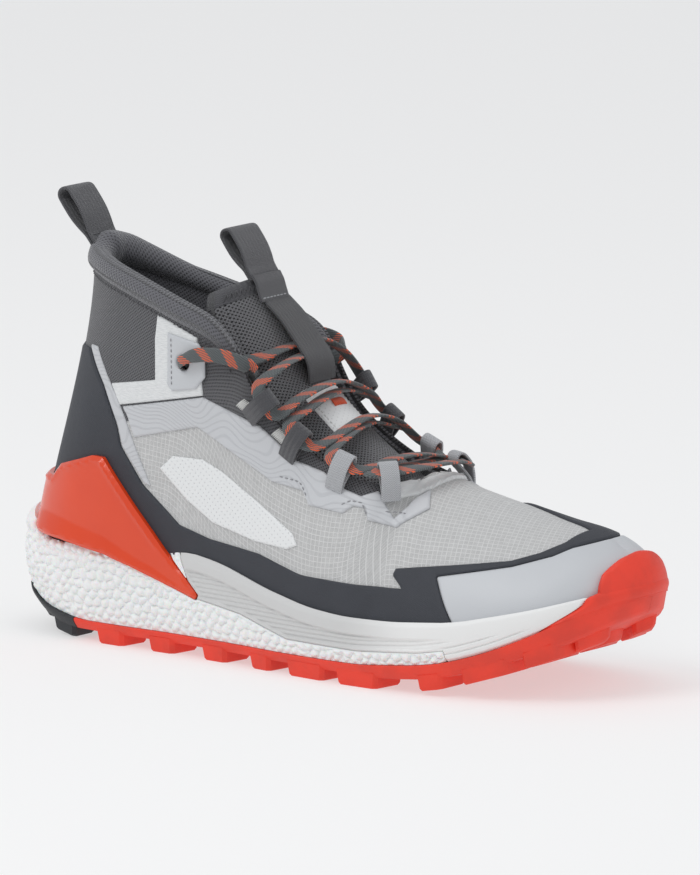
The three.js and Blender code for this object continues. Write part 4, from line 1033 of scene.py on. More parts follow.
# -------------------------------------------------------------------- sole ----
HEEL_SWELL = 6.0
SWELL_FROM = 15.5
LUG_DEPTH = 4.5
PLATE = 3.0


def ground(x):
    return height(GROUND, x)


def rubber_top(x):
    return height(RUBBER, x)


def plate_bottom(x):
    return ground(x) + LUG_DEPTH


def rim_top(x):
    return np.maximum(height(RIMLINE, x), height(BED, x) + CLEAR + 3)


def heel_round(u, swell):
    return smooth(u, SWELL_FROM, LAST_RIB - 1) * swell * HEEL_SWELL


def sole_ring(side, u, offset, swell, z_of):
    xy, _ = outline(side, u, offset + heel_round(u, swell))
    return flat(xy, z_of(xy[:, 0]))


def slab(u, profile, top, bottom, columns=17, crown=lambda a: 0 * a):
    """A solid across the boot: side profile points (offset, swell, z) from the bottom up, and two skins."""
    sides = [[sole_ring(side, u, o, s, z) for o, s, z in profile] for side in (OUTER, INNER)]
    share = np.linspace(0, 1, columns)[None, :, None]

    def across(a, b, z_of, lift=0.0):
        points = a[:, None] * (1 - share) + b[:, None] * share
        edge = np.abs(share[0, :, 0] * 2 - 1)
        points[..., 2] = z_of(points[..., 0]) + lift * crown(edge)[None]
        return points

    low = across(sides[OUTER][0], sides[INNER][0], bottom)[:, 1:-1]
    high = across(sides[INNER][-1], sides[OUTER][-1], top, 1.0)[:, 1:-1]
    rings = np.concatenate([sides[OUTER][0][:, None], low, *[p[:, None] for p in sides[INNER]], high,
                            *[p[:, None] for p in sides[OUTER][:0:-1]]], axis=1)
    points, faces, _ = tube(rings)
    faces = [f[::-1] for f in faces]
    return points, faces, points[:, :2]


def rib_at(x):
    u = np.linspace(8, LAST_RIB, 2000)
    return float(np.interp(-x, -spline(SOLE, OUTER, u)[:, 0], u))


WALL = 2.0


def outsole_plate(u):
    profile = [(-4, 0.2, plate_bottom), (-1.6, 0.25, lambda x: plate_bottom(x) + 0.5),
               (-0.6, 0.3, lambda x: plate_bottom(x) + 1.8), (0.4, 0.5, lambda x: rubber_top(x) - 1.2),
               (0.5, 0.5, lambda x: rubber_top(x) - 0.3), (0.1, 0.5, rubber_top), (-WALL, 0.4, rubber_top)]
    return slab(u, profile, lambda x: plate_bottom(x) + PLATE, plate_bottom)


OUTER_LUGS = [[55, 70], [83, 97], [112, 126], [139, 151], [160, 181], [187, 209], [228, 240], [248, 268],
              [273, 285]]
INNER_LUGS = [[56, 71], [84, 98], [112, 126], [138, 151], [161, 180], [187, 208], [229, 242], [250, 267],
              [273, 285]]
CHEVRONS = [[62, 12], [92, 13], [121, 15], [149, 18], [176, 20], [198, 21], [237, 19], [258, 15]]
HEEL_LUGS = [
    [[9, -14], [22, -22], [25, -10], [12, -5]], [[9, 14], [22, 22], [25, 10], [12, 5]],
    [[28, -29], [42, -32], [43, -16], [29, -14]], [[28, 29], [42, 31], [43, 16], [29, 14]],
    [[30, -9], [42, -9], [42, 9], [30, 9]],
]
TOE_LUGS = [
    [[289, -25], [299, -11], [291, -5], [282, -14]], [[289, 34], [299, 22], [291, 15], [282, 24]],
    [[281, -6], [290, -2], [290, 12], [281, 16]],
]
LUG_REACH = 17.0


def edge_y(side, x):
    u = np.linspace(0, LAST_RIB, 2001)
    xy = spline(SOLE, side, u)
    return abs(float(np.interp(-x, -xy[:, 0], xy[:, 1])))


def edge_lug(side, span):
    sign = -1 if side == OUTER else 1
    skew = 3
    y = [edge_y(side, x) - 0.2 for x in span]
    return [[span[0], sign * y[0]], [span[1], sign * y[1]],
            [span[1] + skew, sign * (y[1] - LUG_REACH)], [span[0] + skew, sign * (y[0] - LUG_REACH)]]


def chevron(x, half, length=9):
    return [[[x, -half], [x + length, -half], [x + length + 4, 1], [x + 4, 1]],
            [[x + 4, -1], [x + length + 4, -1], [x + length, half], [x, half]]]


def lug(corners, taper=1.3):
    """A tapered block with rounded edges, from inside the plate to the ground."""
    root = np.array(corners, float)
    centre = root.mean(0)
    foot = root - unit(root - centre) * taper
    rings = []
    for share, z_share in ((0.0, 1.0), (0.86, 0.14), (1.0, 0.0)):
        squeeze = 0.0 if share < 1 else 0.7
        at = root * (1 - share) + foot * share
        at = at - unit(at - centre) * squeeze
        z = ground(at[:, 0]) * (1 - z_share) + (plate_bottom(at[:, 0]) + 2.2) * z_share
        rings.append(cut_corners(flat(at, z), 1.5))
    points, faces, uv = tube(rings)
    area = 0.5 * np.sum(root[:, 0] * np.roll(root[:, 1], -1) - np.roll(root[:, 0], -1) * root[:, 1])
    return points, [f[::-1] for f in faces] if area > 0 else faces, points[:, :2]


def cut_corners(ring, cut):
    """Each corner of a ring becomes two points, so that it is chamfered."""
    before, after = np.roll(ring, 1, axis=0), np.roll(ring, -1, axis=0)
    first = ring + unit(before - ring) * cut
    second = ring + unit(after - ring) * cut
    return np.stack([first, second], 1).reshape(-1, 3)


HEEL_END = 44.0


def outsole():
    u = rib_stations(2.0 / DETAIL)
    split = rib_at(HEEL_END)
    front = np.concatenate([[0.004], u[(u > 0.06) & (u < split - 0.02)], [split - 0.01]])
    back = np.concatenate([[split + 0.01], u[(u > split + 0.03) & (u < LAST_RIB - 0.06)], [LAST_RIB - 0.004]])
    lugs = [edge_lug(OUTER, span) for span in OUTER_LUGS] + [edge_lug(INNER, span) for span in INNER_LUGS]
    lugs += [half for x, width in CHEVRONS for half in chevron(x, width)] + TOE_LUGS
    piece("red_outsole", merged(outsole_plate(front), *[lug(c) for c in lugs]), LOOKS["red"], "bends",
          ("outsole_mid", "outsole_toe"), 32)
    piece("heel_outsole", merged(outsole_plate(back), *[lug(c) for c in HEEL_LUGS]), LOOKS["black"],
          "rearfoot", ("outsole_heel",), 32)


FOAM_END = 243.0
FOAM_LINE = [[84, 75], [109, 25.5], [135, 22], [161, 15], [199, 15], [230, 17.5], [FOAM_END - 2, 19.5],
             [FOAM_END, 12], [FOAM_END, -20]]
IN_FOAM = [[-30, -20], [-30, 75]] + FOAM_LINE
CLIP_OUTLINE = [[55, 79.5], [35, 72.5], [29, 66.5], [-30, 65], [-30, 46], [17, 43], [38, 42.5], [62, 39.5],
                [88, 31.5], [110, 25], [111, 27], [93, 44], [61, 79.5]]
CLIP_FLOOR = [[-30, 46], [17, 43], [38, 42.5], [62, 39.5], [88, 31.5], [110, 25]]
RED_START = 294.5        # where the red toe rubber begins at the rim
RED_SLANT = 14.0        # and how much further back it begins at the ground
POCKET_FROM = 17.0
POCKET_MARGIN = [[45, 80], [-0.8, 0.35]]    # x, and how far past the clip's edge its pocket reaches
FLANGE_FADE = (14, 24)
HEEL_WRAP = 2.2         # how far the foam stands out where it wraps over the clip


def wall_sheet(spacing, rows):
    """The midsole's outer wall, from the rubber up to the rim, with "T" the share of the way up."""
    u = rib_stations(spacing)
    t = np.linspace(0, 1, rows + 1)
    rolled_in = 1.1 * smooth(t, 0.86, 1.0) ** 2
    offset = 2.4 * t * (1 - t) * 1.5 - 0.4 + 0.1 * t - rolled_in - 0.5 * smooth(t, 0.08, 0)
    swell = 0.5 + 2.0 * t * (1 - t) - 0.25 * t
    columns = []
    for side in (OUTER, INNER):
        rings = []
        for k, share in enumerate(t):
            xy, _ = outline(side, u, offset[k] + heel_round(u, swell[k]))
            low = np.minimum(rubber_top(xy[:, 0]) + 0.15, height(BED, xy[:, 0]) - 1)
            rings.append(flat(xy, low * (1 - share) + rim_top(xy[:, 0]) * share))
        columns.append(np.stack(rings, 1))
    full = np.concatenate([columns[OUTER], columns[INNER][-2:0:-1]])
    ids = np.arange(full.shape[0] * full.shape[1]).reshape(full.shape[:2])
    faces = grid_faces(np.vstack([ids, ids[:1]]))
    points = full.reshape(-1, 3)
    along = np.concatenate([[0], np.cumsum(np.linalg.norm(np.diff(full[:, 0], axis=0), axis=1))])
    uv = np.stack(np.broadcast_arrays(along[:, None], full[..., 2]), -1).reshape(-1, 2)
    heel = heel_round(np.concatenate([u, u[-2:0:-1]]), 1.0)
    return {"P": points, "N": normals_of(points, faces), "UV": uv, "F": faces,
            "T": np.tile(t, len(full)), "S": np.repeat(along, rows + 1), "H": np.repeat(heel, rows + 1)}


def beads(sheet, seed=4, across=4.6, tall=3.6):
    """Height of the foam's skin: soft beads packed side by side, 0 in the creases between them."""
    rng = np.random.default_rng(seed)
    tree_points = []
    for row, z in enumerate(np.arange(0, 70, tall)):
        x = np.arange(0, sheet["S"].max() + across, across) + (row % 2) * across / 2
        tree_points.append(np.column_stack([x, np.full(len(x), z)]) + rng.normal(0, 0.85, (len(x), 2)))
    centres = np.vstack(tree_points)
    tree = kdtree.KDTree(len(centres))
    for k, (x, z) in enumerate(centres):
        tree.insert((x, z, 0), k)
    tree.balance()
    places = zip(sheet["S"], sheet["P"][:, 2])
    near = np.array([[hit[2] for hit in tree.find_n((x, z, 0), 2)] for x, z in places])
    return np.sqrt(smooth(near[:, 1] - near[:, 0], 0.0, 2.6))


def red_share(wall):
    """How far each point of the wall is past the slanted line where the red toe rubber begins."""
    return wall["P"][:, 0] - (RED_START - RED_SLANT * (1 - wall["T"]) ** 4)


def midsole():
    wall = wall_sheet(0.8 / DETAIL, int(84 * DETAIL))
    x = wall["P"][:, 0]
    margin = np.interp(x, *POCKET_MARGIN)
    pocket = np.minimum(distance_in(CLIP_OUTLINE, wall["P"][:, [0, 2]]) + margin, x - POCKET_FROM)
    in_foam = distance_in(IN_FOAM, wall["P"][:, [0, 2]])
    foam = clip(wall, np.minimum(in_foam, -pocket))
    share = smooth(foam["D"], 0.1, 1.6) * smooth(foam["T"], 0.0, 0.05)
    share *= 1 - smooth(foam["P"][:, 0], 24, 19) * smooth(foam["P"][:, 2], 43, 47)
    foam_height = 1.8 * (beads(foam) - 0.85) * share - 0.6 * (1 - smooth(foam["D"], 0, 1.2))
    behind_clip = smooth(-foam["P"][:, 0], -POCKET_FROM - 1, -POCKET_FROM + 2)
    foam_height += HEEL_WRAP * behind_clip * smooth(foam["P"][:, 2], 41.5, 45)
    deep = foam["H"] * (1 - smooth(foam["P"][:, 2], 44, 47))
    piece("foam_wall", thicken(foam, foam_height, -2.3 - deep), LOOKS["foam"], "bends",
          ("midsole_foam", "midsole_foam_toe"), 60)
    grey = clip(wall, np.min([-in_foam - 0.15, -pocket, -red_share(wall) - 0.1], axis=0))
    gx, gz = grey["P"][:, 0], grey["P"][:, 2]
    below_rim = rim_top(gx) - gz
    inside = smooth(below_rim, 6.2, 7.4) * smooth(grey["D"], 0.8, 1.8)
    fine_ribs = 0.5 + 0.5 * np.sin(2 * math.pi * (gz - rubber_top(gx)) / 1.9)
    long_ribs = 0.5 + 0.5 * np.sin(2 * math.pi * (gz - rubber_top(gx)) / 2.6)
    front = smooth(gx, 226, 246)
    band = inside * (1 - front) + front * smooth(below_rim, 7.5, 8.5) * smooth(gz - rubber_top(gx), 1.0, 1.8)
    ribbed = (1 - front) * fine_ribs ** 2 * 0.55 + front * long_ribs ** 6 * 0.7
    step_in = 0.9 * inside * (1 - front)
    lift = -band * ribbed - step_in - 0.8 * (1 - smooth(grey["D"], 0, 1.0))
    piece("frame_wall", thicken(grey, lift, -2.4), LOOKS["eva"], "bends",
          ("midsole_frame", "midsole_frame_toe"), 60)
    return wall


def heel_clip():
    shape = clip(WALLED, in_side(CLIP_OUTLINE)(WALLED))
    x, z = shape["P"][:, 0], shape["P"][:, 2]
    floor = np.array(CLIP_FLOOR, float)
    up = z - np.interp(x, floor[:, 0], floor[:, 1])
    width = np.interp(x, [0, 30, 60, 108], [7.5, 9.0, 7.5, 1.5])
    flange = np.clip(1 - up / width, 0, 1) * np.interp(x, [-5, 30, 80, 108], [1.0, 2.2, 1.6, 0.2])
    flange *= smooth(x, *FLANGE_FADE)
    edge = 0.9 * (1 - smooth(shape["D"], 0.0, 1.3))
    rib = 0.45 * (smooth(shape["D"], 1.2, 1.7) - smooth(shape["D"], 2.4, 3.2)) * smooth(up, 12, 16)
    piece("orange_clip", thicken(shape, CLIP[1] + flange - edge + rib, CLIP[0]), LOOKS["clip"], "rearfoot",
          ("heel_clip",), 28)


BUMPER_START = 294.5
BUMPER_ROUND_FROM = 50.0    # below this height the cap runs into the sole, and keeps its full thickness
BUMPER = [[BUMPER_START, -20], [BUMPER_START - 1, 44], [BUMPER_START - 1.5, 50], [BUMPER_START, 54],
          [BUMPER_START + 3, 57.5], [BUMPER_START + 30, 61], [BUMPER_START + 30, -20]]


def toe_bumper(wall):
    above_sole = WALLED["P"][:, 2] - rubber_top(WALLED["P"][:, 0]) - 1.5
    cap = clip(WALLED, np.minimum(in_side(BUMPER)(WALLED), above_sole))
    past_start = cap["P"][:, 0] - BUMPER_START + 2
    from_edge = np.where(cap["P"][:, 2] < BUMPER_ROUND_FROM, past_start, np.minimum(cap["D"], past_start))
    edge = 1 - np.clip(from_edge / 2.0, 0, 1)
    cap_solid = thicken(cap, CLIP[0] + (CLIP[1] - CLIP[0] + 0.6) * np.sqrt(1 - 0.9 * edge ** 2), CLIP[0])
    block = clip(wall, red_share(wall))
    block_solid = thicken(block, 0.9 * smooth(block["D"], 0, 2.5), -2.4)
    piece("red_bumper", merged(cap_solid, block_solid), LOOKS["red"], "forefoot", (), 40)


def footbed():
    inside = FEATHER - LINING[0] + CLEAR
    u = rib_stations(3.0 / DETAIL)
    u = np.concatenate([[0.05], u[(u > 0.1) & (u < LAST_RIB - 0.1)], [LAST_RIB - 0.05]])
    heights = {"board_low": 0.3, "board_top": 2.2, "sock_low": 2.6, "sock_edge": 7.4, "sock_top": 6.2}
    level = {name: (lambda x, h=h: height(BED, x) + h) for name, h in heights.items()}
    board = slab(u, [(-inside, 0, level["board_low"]), (-inside, 0, level["board_top"])], level["board_top"],
                 level["board_low"])
    piece("insole_board", board, LOOKS["board"], "bends", ("strobel_board",))
    sock = slab(u, [(-inside - 0.6, 0, level["sock_low"]), (-inside - 0.7, 0, lambda x: height(BED, x) + 6.6),
                    (-inside - 1.4, 0, level["sock_edge"])],
                level["sock_top"], level["sock_low"], 25, lambda a: 1.2 * smooth(a, 0.4, 1.0))
    piece("footbed", sock, LOOKS["lining_knit"], "bends", ("sockliner",))


# ------------------------------------------------------------------ curves ----
def catmull_rom(control, per_span=24):
    """A centripetal Catmull-Rom line through all the control points."""
    p = np.array(control, float)
    p = np.vstack([2 * p[0] - p[1], p, 2 * p[-1] - p[-2]])
    line = []
    for k in range(1, len(p) - 2):
        gaps = np.maximum(np.linalg.norm(np.diff(p[k - 1:k + 3], axis=0), axis=1) ** 0.5, 1e-4)
        t0, t1 = 0.0, gaps[0]
        t2 = t1 + gaps[1]
        t3 = t2 + gaps[2]
        t = np.linspace(t1, t2, per_span, endpoint=False)[:, None]
        a, b, c, d = p[k - 1:k + 3]
        ab = (t1 - t) / (t1 - t0) * a + (t - t0) / (t1 - t0) * b
        bc = (t2 - t) / (t2 - t1) * b + (t - t1) / (t2 - t1) * c
        cd = (t3 - t) / (t3 - t2) * c + (t - t2) / (t3 - t2) * d
        left = (t2 - t) / (t2 - t0) * ab + (t - t0) / (t2 - t0) * bc
        right = (t3 - t) / (t3 - t1) * bc + (t - t1) / (t3 - t1) * cd
        line.append((t2 - t) / (t2 - t1) * left + (t - t1) / (t2 - t1) * right)
    return np.vstack([*line, p[-2:-1]])


def ribbon(path, face, width, thickness, squareness=0.45, sides=14):
    """A flat tape along a path with one face turned to `face`; its map is millimetres along and across."""
    along = unit(np.gradient(path, axis=0))
    across = unit(np.cross(face, along))
    normal = np.cross(along, across)
    angle = np.linspace(0, 2 * math.pi, sides, endpoint=False)
    a = np.sign(np.cos(angle)) * np.abs(np.cos(angle)) ** squareness / 2
    b = np.sign(np.sin(angle)) * np.abs(np.sin(angle)) ** squareness / 2
    width = np.broadcast_to(width, len(path))[:, None, None]
    rings = (path[:, None] + across[:, None] * a[None, :, None] * width
             + normal[:, None] * b[None, :, None] * thickness)
    points, faces, uv = tube(rings)
    uv[:, 1] = (a[None] * width[:, :, 0]).ravel()
    return points, faces, uv


# ------------------------------------------------------------------ tongue ----
TONGUE_LINE = [[213, 67], [206, 71], [199, 75.5], [188, 82], [176, 89.5], [164, 98], [153, 107], [143, 116.5],
               [134, 127], [127, 138], [121, 148], [116.5, 157]]
TONGUE_STEPS = 22.0
TONGUE_THICKNESS = 4.5
CROWN = 12.0
TONGUE_CURVE = catmull_rom([[x, 0, z] for x, z in TONGUE_LINE])
TONGUE_MARKS = np.concatenate([[0], np.cumsum(np.linalg.norm(np.diff(TONGUE_CURVE, axis=0), axis=1))])


def tongue_frame(step):
    """Place on the tongue's middle line at each step, way along it and way out of its upper face."""
    marks = np.atleast_1d(step) / TONGUE_STEPS * TONGUE_MARKS[-1]
    at = np.column_stack([np.interp(marks, TONGUE_MARKS, TONGUE_CURVE[:, k]) for k in range(3)])
    ways = unit(np.gradient(TONGUE_CURVE, axis=0))
    along = unit(np.column_stack([np.interp(marks, TONGUE_MARKS, ways[:, k]) for k in range(3)]))
    out = np.column_stack([along[:, 2], np.zeros(len(along)), -along[:, 0]])
    return at, along, out


def tongue_half(step):
    t = np.asarray(step) / TONGUE_STEPS
    return 24.5 - 4 * smooth(-t, -0.25, 0) - 6 * smooth(t, 0.93, 1.02)


def tongue_point(step, share, lift):
    """The point a share of the half width across the tongue at a step, `lift` above its face."""
    step, share, lift = np.broadcast_arrays(np.asarray(step, float), share, lift)
    at, _, out = tongue_frame(step.ravel())
    share, lift = share.reshape(-1, 1), lift.reshape(-1, 1)
    points = at + out * (lift - CROWN * share ** 2)
    points[:, 1] = share[:, 0] * tongue_half(step.ravel())
    return points.reshape(*step.shape, 3)


def tongue_slab(step_from, step_to, near, far, reach=1.0, columns=49, spacing=0.9):
    """A sheet that lies on the tongue's curve between two lifts, near(step, share) and far(step, share)."""
    length = TONGUE_MARKS[-1] / TONGUE_STEPS * (step_to - step_from)
    steps = np.linspace(step_from, step_to, max(3, int(length * DETAIL / spacing)))[:, None]
    share = np.linspace(-reach, reach, columns)[None]
    top = tongue_point(steps, share, near(steps, share))
    low = tongue_point(steps, share, far(steps, share))[:, ::-1]
    pitch = 2 * columns * (reach * 48 / columns)
    return tube(np.concatenate([top, low], axis=1), (1.0, pitch))


def tongue():
    def top(step, share):
        puff = 0.5 * (1 - np.abs(share) ** 4) * smooth(step, 0, 3)
        seam = 0.9 * (1 - smooth(np.abs(np.abs(share) - 0.86), 0.0, 0.035))
        return puff - seam * 0.6 * smooth(step, 1, 3)

    def under(step, share):
        return -TONGUE_THICKNESS * (0.6 * (1 - np.abs(share) ** 6) + 0.4) + 0 * step

    pad = piece("tongue_mesh", tongue_slab(0, 21.05, top, under, 1.0, int(90 * DETAIL)), LOOKS["tongue_mesh"],
                "tongue_bends", ("tongue_pad", "tongue_bend_zone", "tongue_top"))
    middle = -TONGUE_THICKNESS / 2

    def fold(step):
        return np.sqrt(np.clip(1 - np.clip((step - 21.5) / 0.56, 0, 1) ** 2, 0.02, 1))

    def tape_top(step, share):
        return middle + (0.9 - middle) * fold(step) * (1 - 0.15 * np.abs(share) ** 6)

    def tape_under(step, share):
        return middle - (TONGUE_THICKNESS + 0.9 + middle) * fold(step) * (1 - 0.4 * np.abs(share) ** 6)

    piece("tongue_tape", tongue_slab(20.85, 22.05, tape_top, tape_under, 1.0, int(60 * DETAIL), 0.4),
          LOOKS["webbing"], "tongue_flap", ("tongue_binding",))
    zigzag = tongue_zigzag(21.0, 21.5, -0.9, 0.9, 44, 1.15, 0.28)
    piece("tape_zigzag", merged(*zigzag), LOOKS["dark_thread"], "tongue_flap", (), 60)


def tongue_zigzag(step_from, step_to, share_from, share_to, count, lift, radius):
    """Zigzag stitches across the tongue."""
    share = np.linspace(share_from, share_to, count + 1)
    step = np.where(np.arange(count + 1) % 2 == 0, step_from, step_to)
    points = tongue_point(step, share, lift)
    _, _, out = tongue_frame(step)
    return [stitch(a, b, up, radius, 0.25) for a, b, up in zip(points[:-1], points[1:], out)]


def strap_path(places, count=60):
    places = np.array(places, float)
    curve = catmull_rom(np.column_stack([places[:, 0] * 6, places[:, 1], 0 * places[:, 1]]))
    marks = resampled(curve, max(0.4, 100 / count))
    step, lift = marks[:, 0] / 6, marks[:, 1]
    at, _, out = tongue_frame(step)
    return at + out * lift[:, None], out


CENTRE_STRAP = [[20.2, 0.9], [19.8, 1.9], [18.6, 4.4], [17, 6.2], [15, 6.4], [14.4, 5.0], [13.6, 1.0]]
STRAP_MIDDLE = 1.5
STRAP_WIDTH = 19.0
WEBBING = 1.2


def tongue_trim():
    path, out = strap_path(CENTRE_STRAP)
    path = path + [0, STRAP_MIDDLE, 0]
    piece("centre_strap", ribbon(path, out, STRAP_WIDTH, WEBBING, 0.3), LOOKS["black_webbing"],
          "tongue_bends", ("tongue_strap",))

    def patch_top(step, share):
        ends = np.minimum(smooth(step, 9.4, 9.5), smooth(-step, -13.4, -13.3))
        corner = np.clip((1 - np.abs(share) / 0.5) / 0.06, 0, 1)
        return 0.35 + 0.75 * np.sqrt(corner) * (0.3 + 0.7 * ends)

    def patch_under(step, share):
        return 0.25 + 0 * (step + share)

    plate = tongue_slab(9.4, 13.4, patch_top, patch_under, 0.5, int(60 * DETAIL), 0.35)
    piece("tongue_plate", plate, LOOKS["panel"], "rearfoot", ("tongue_patch",))
    rows = []
    for share in (-0.44, 0.44):
        rows += patch_row(np.linspace(9.6, 13.2, 12), np.full(12, share))
    for step in (9.65, 13.15):
        rows += patch_row(np.full(10, step), np.linspace(-0.44, 0.44, 10))
    piece("plate_stitching", merged(*rows), LOOKS["white_thread"], "rearfoot", (), 60)
    tack = tongue_zigzag(11.35, 11.98, -0.13, 0.21, 16, 1.45, 0.42)
    piece("orange_tack", merged(*tack), LOOKS["orange_thread"], "rearfoot",
          ("tongue_patch_tack",), 60)


def patch_row(step, share):
    points = tongue_point(step, share, 1.1)
    _, _, out = tongue_frame(step)
    return stitch_rows(points, out, 2.0, 0.8, 0.26, 0.25)


# ------------------------------------------------------------------- loops ----
def pull_loop(foot, top, gap, thickness, width, sink=2.5):
    """Webbing folded on itself round a finger gap; also where its base lies and which way it stands."""
    foot, top = np.array([foot[0], 0, foot[1]], float), np.array([top[0], 0, top[1]], float)
    length = np.linalg.norm(top - foot)
    up = (top - foot) / length
    side = np.array([up[2], 0, -up[0]])
    half = (gap + thickness) / 2
    outer = half + thickness / 2
    leg = [(thickness / 2 + 0.12, -sink), (thickness / 2 + 0.12, 0), (thickness / 2 + 0.3, 3),
           (half * 0.72, length * 0.3), (half, length * 0.5), (half, length - outer)]
    turns = np.linspace(0.35, math.pi - 0.35, 9)
    arc = [(half * math.cos(a), length - outer + half * math.sin(a)) for a in turns]
    flat_path = leg + arc + [(-a, b) for a, b in leg[::-1]]
    smooth_path = resampled(catmull_rom([[a, b, 0] for a, b in flat_path], 12), 0.6)
    path = foot + smooth_path[:, :1] * side + smooth_path[:, 1:2] * up
    way = unit(np.gradient(smooth_path, axis=0))
    face = way[:, 1:2] * side - way[:, :1] * up
    return ribbon(path, face, width, thickness * 0.94, 0.25, 18), foot, up, side


def loop_stitches(foot, up, side, width, lift, rises):
    """Rows of stitches across the base of a loop, on both its faces."""
    rows = []
    y = np.linspace(-width / 2 + 1.6, width / 2 - 1.6, int(width / 2.6))
    for rise in rises:
        for sign in (1, -1):
            points = foot + up * rise + side * lift * sign + np.array([0, 1, 0]) * y[:, None]
            rows += stitch_rows(points, np.tile(side * sign, (len(y), 1)), 1.9, 0.7, 0.3, 0.25)
    return rows


def pull_loops():
    for name, body, node, look, sizes, rises in (
            ("tongue_tab", "tongue_loop", "tongue_pull_loop", "light_thread", TONGUE_PULL, ()),
            ("heel_tab", "heel_loop", "heel_pull_loop", "dark_thread", HEEL_PULL, (1.6, 4.0))):
        solid, foot, up, side = pull_loop(*sizes)
        piece(name, solid, LOOKS["webbing"], body, (node,), 50)
        lift = sizes[3] + 0.2
        if rises:
            rows = loop_stitches(foot, up, side, sizes[4], lift, rises)
            piece(name + "_stitching", merged(*rows), LOOKS[look], body, (), 60)


def loop_base():
    """The pull loop's tape runs down the tongue's face to the row of stitches that holds it."""
    steps = np.linspace(20.1, 22.0, 14)
    at, _, out = tongue_frame(steps)
    lift = np.interp(steps, [20.1, 21.4, 22.0], [1.3, 2.3, 1.9])
    piece("tongue_tab_base", ribbon(at + out * lift[:, None], out, 20.0, 1.3, 0.3), LOOKS["webbing"],
          "tongue_flap", (), 50)
    y = np.linspace(-8.4, 8.4, 8)
    at, _, out = tongue_frame(np.full(8, 20.3))
    points = at + out * 2.1
    points[:, 1] = y
    piece("tongue_tab_row", merged(*stitch_rows(points, out, 1.9, 0.7, 0.3, 0.25)), LOOKS["light_thread"],
          "tongue_flap", (), 60)


TONGUE_PULL = ([116.2, 158.1], [103, 176.2], 4.2, 1.2, 20)
HEEL_PULL = ([34.5, 165.6], [18.6, 186.4], 4.6, 1.4, 18)

LOOP_PLACES = {"d": 7.75, "c": 8.9, "b": 10.1, "a": 11.35}
LOOP_LIFT = 0.9
LOOP_HEIGHT = 6.0
LOOP_THICK = 1.1
LOOP_WIDTH = 8.0


def webbing_loop(side, u):
    """A tape folded over the edge of the upper round the lace."""
    at, along, out, inward = (v[0] for v in edge_frames(side, u))
    at = at + out * (FILM[1] + LOOP_LIFT)
    low, high = LOOP_THICK / 2, LOOP_HEIGHT - LOOP_THICK / 2
    radius = (high - low) / 2
    turn = [(5 + radius * math.cos(a), 3 + radius * math.sin(a)) for a in np.linspace(-1.2, 1.2, 7)]
    flat_path = [(-7.5, low - 2.2), (-4.5, low - 0.5), (-1, low), (3.5, low), *turn, (3.5, high),
                 (0.5, high - 0.4), (-3, high - 2.2), (-6, low + 0.3), (-8, low - 1.6)]
    line = resampled(catmull_rom([[a, b, 0] for a, b in flat_path], 10), 0.5)
    path = at + line[:, :1] * inward + line[:, 1:2] * out
    way = unit(np.gradient(line, axis=0))
    face = way[:, :1] * -out + way[:, 1:2] * inward
    return ribbon(path, face, LOOP_WIDTH, LOOP_THICK, 0.3, 16)


def webbing_loops():
    for side in (OUTER, INNER):
        word = SIDE_WORDS[side]
        for name, u in LOOP_PLACES.items():
            light = name in "cd"
            piece(f"webbing_loop_{name}_{word}", webbing_loop(side, u),
                  LOOKS["light_webbing" if light else "webbing"], "rearfoot",
                  (f"lace_loop_{name}_{word}",), 50)


# -------------------------------------------------------------------- lace ----
LACE_POINTS = [
    [92, 24.5, 84], [106, 26, 95], [120, 27.5, 108], [130, 26.4, 117.5], [134.8, 31.2, 122], [131, 37.4, 125],
    [121, 41, 126.8], [112, 42, 126.6], [105, 41.4, 125], [102.8, 37.2, 123.8], [103.4, 32.8, 123.8],
    [107.8, 28.2, 123.4], [126, 27.2, 121.8], [132.5, 21.5, 123], [137, 14, 125.2], [139.3, 2, 126.2],
    [140.8, -12, 125.4], [142.4, -28, 122.6], [140.1, -36.9, 116.2], [148.3, -35.3, 106.2], [151, -24, 111],
    [153, -8, 115], [154, 6, 115], [155, 22, 108.5], [153.8, 32.8, 100.2], [164.8, 32, 93.2], [167.6, 6, 99.1],
    [170.5, -14, 97.4], [173.9, -32.4, 90.6], [186.1, -30.8, 86.4], [190, -10, 88.4], [191.2, 8, 87.8],
    [191.6, 29.6, 83], [203.4, 24.2, 83], [208.5, 10, 86.2], [208, -8, 87.2], [201.8, -20.3, 86.2],
    [192.3, -30.6, 85.6], [189.8, -12, 84.6], [189.4, 6, 84.1], [186, 30.5, 84.1], [174, 31.3, 88.7],
    [170.8, 18, 99], [169.2, 2, 102.4], [164.7, -33.3, 94.4], [153.9, -34.3, 101.6], [154.8, -20, 107.8],
    [153.6, 0, 111.4], [151, 18, 109], [148.2, 33.7, 104.1], [140.2, 35.3, 114.3], [139.2, 25.5, 124],
    [137, 15, 129.8], [136, 3, 130.4], [134, -9, 129], [130.6, -19.5, 126.4], [124, -27.8, 124.4],
    [108, -29.2, 124], [103.4, -34, 123.9], [102.6, -38.8, 123.8], [104.8, -42.6, 125], [112, -43.6, 128.3],
    [123, -42.6, 129.4], [131.4, -39, 127.2], [134.6, -32.4, 123.4], [130.6, -27.4, 118], [120, -28.2, 108],
    [106, -27, 95], [92, -25.5, 84],
]
LACE_WIDTH = 6.0
LACE_THICK = 1.5
LACE_CORE = [[90, 100], [104, 120], [121, 122], [135, 108], [150, 84], [165, 68], [180, 58], [195, 52],
             [210, 50]]


def averaged(values, reach):
    window = np.hanning(2 * reach + 1)
    padded = np.pad(values, ((reach, reach), (0, 0)), mode="edge")
    window /= window.sum()
    return np.column_stack([np.convolve(column, window, "valid") for column in padded.T])


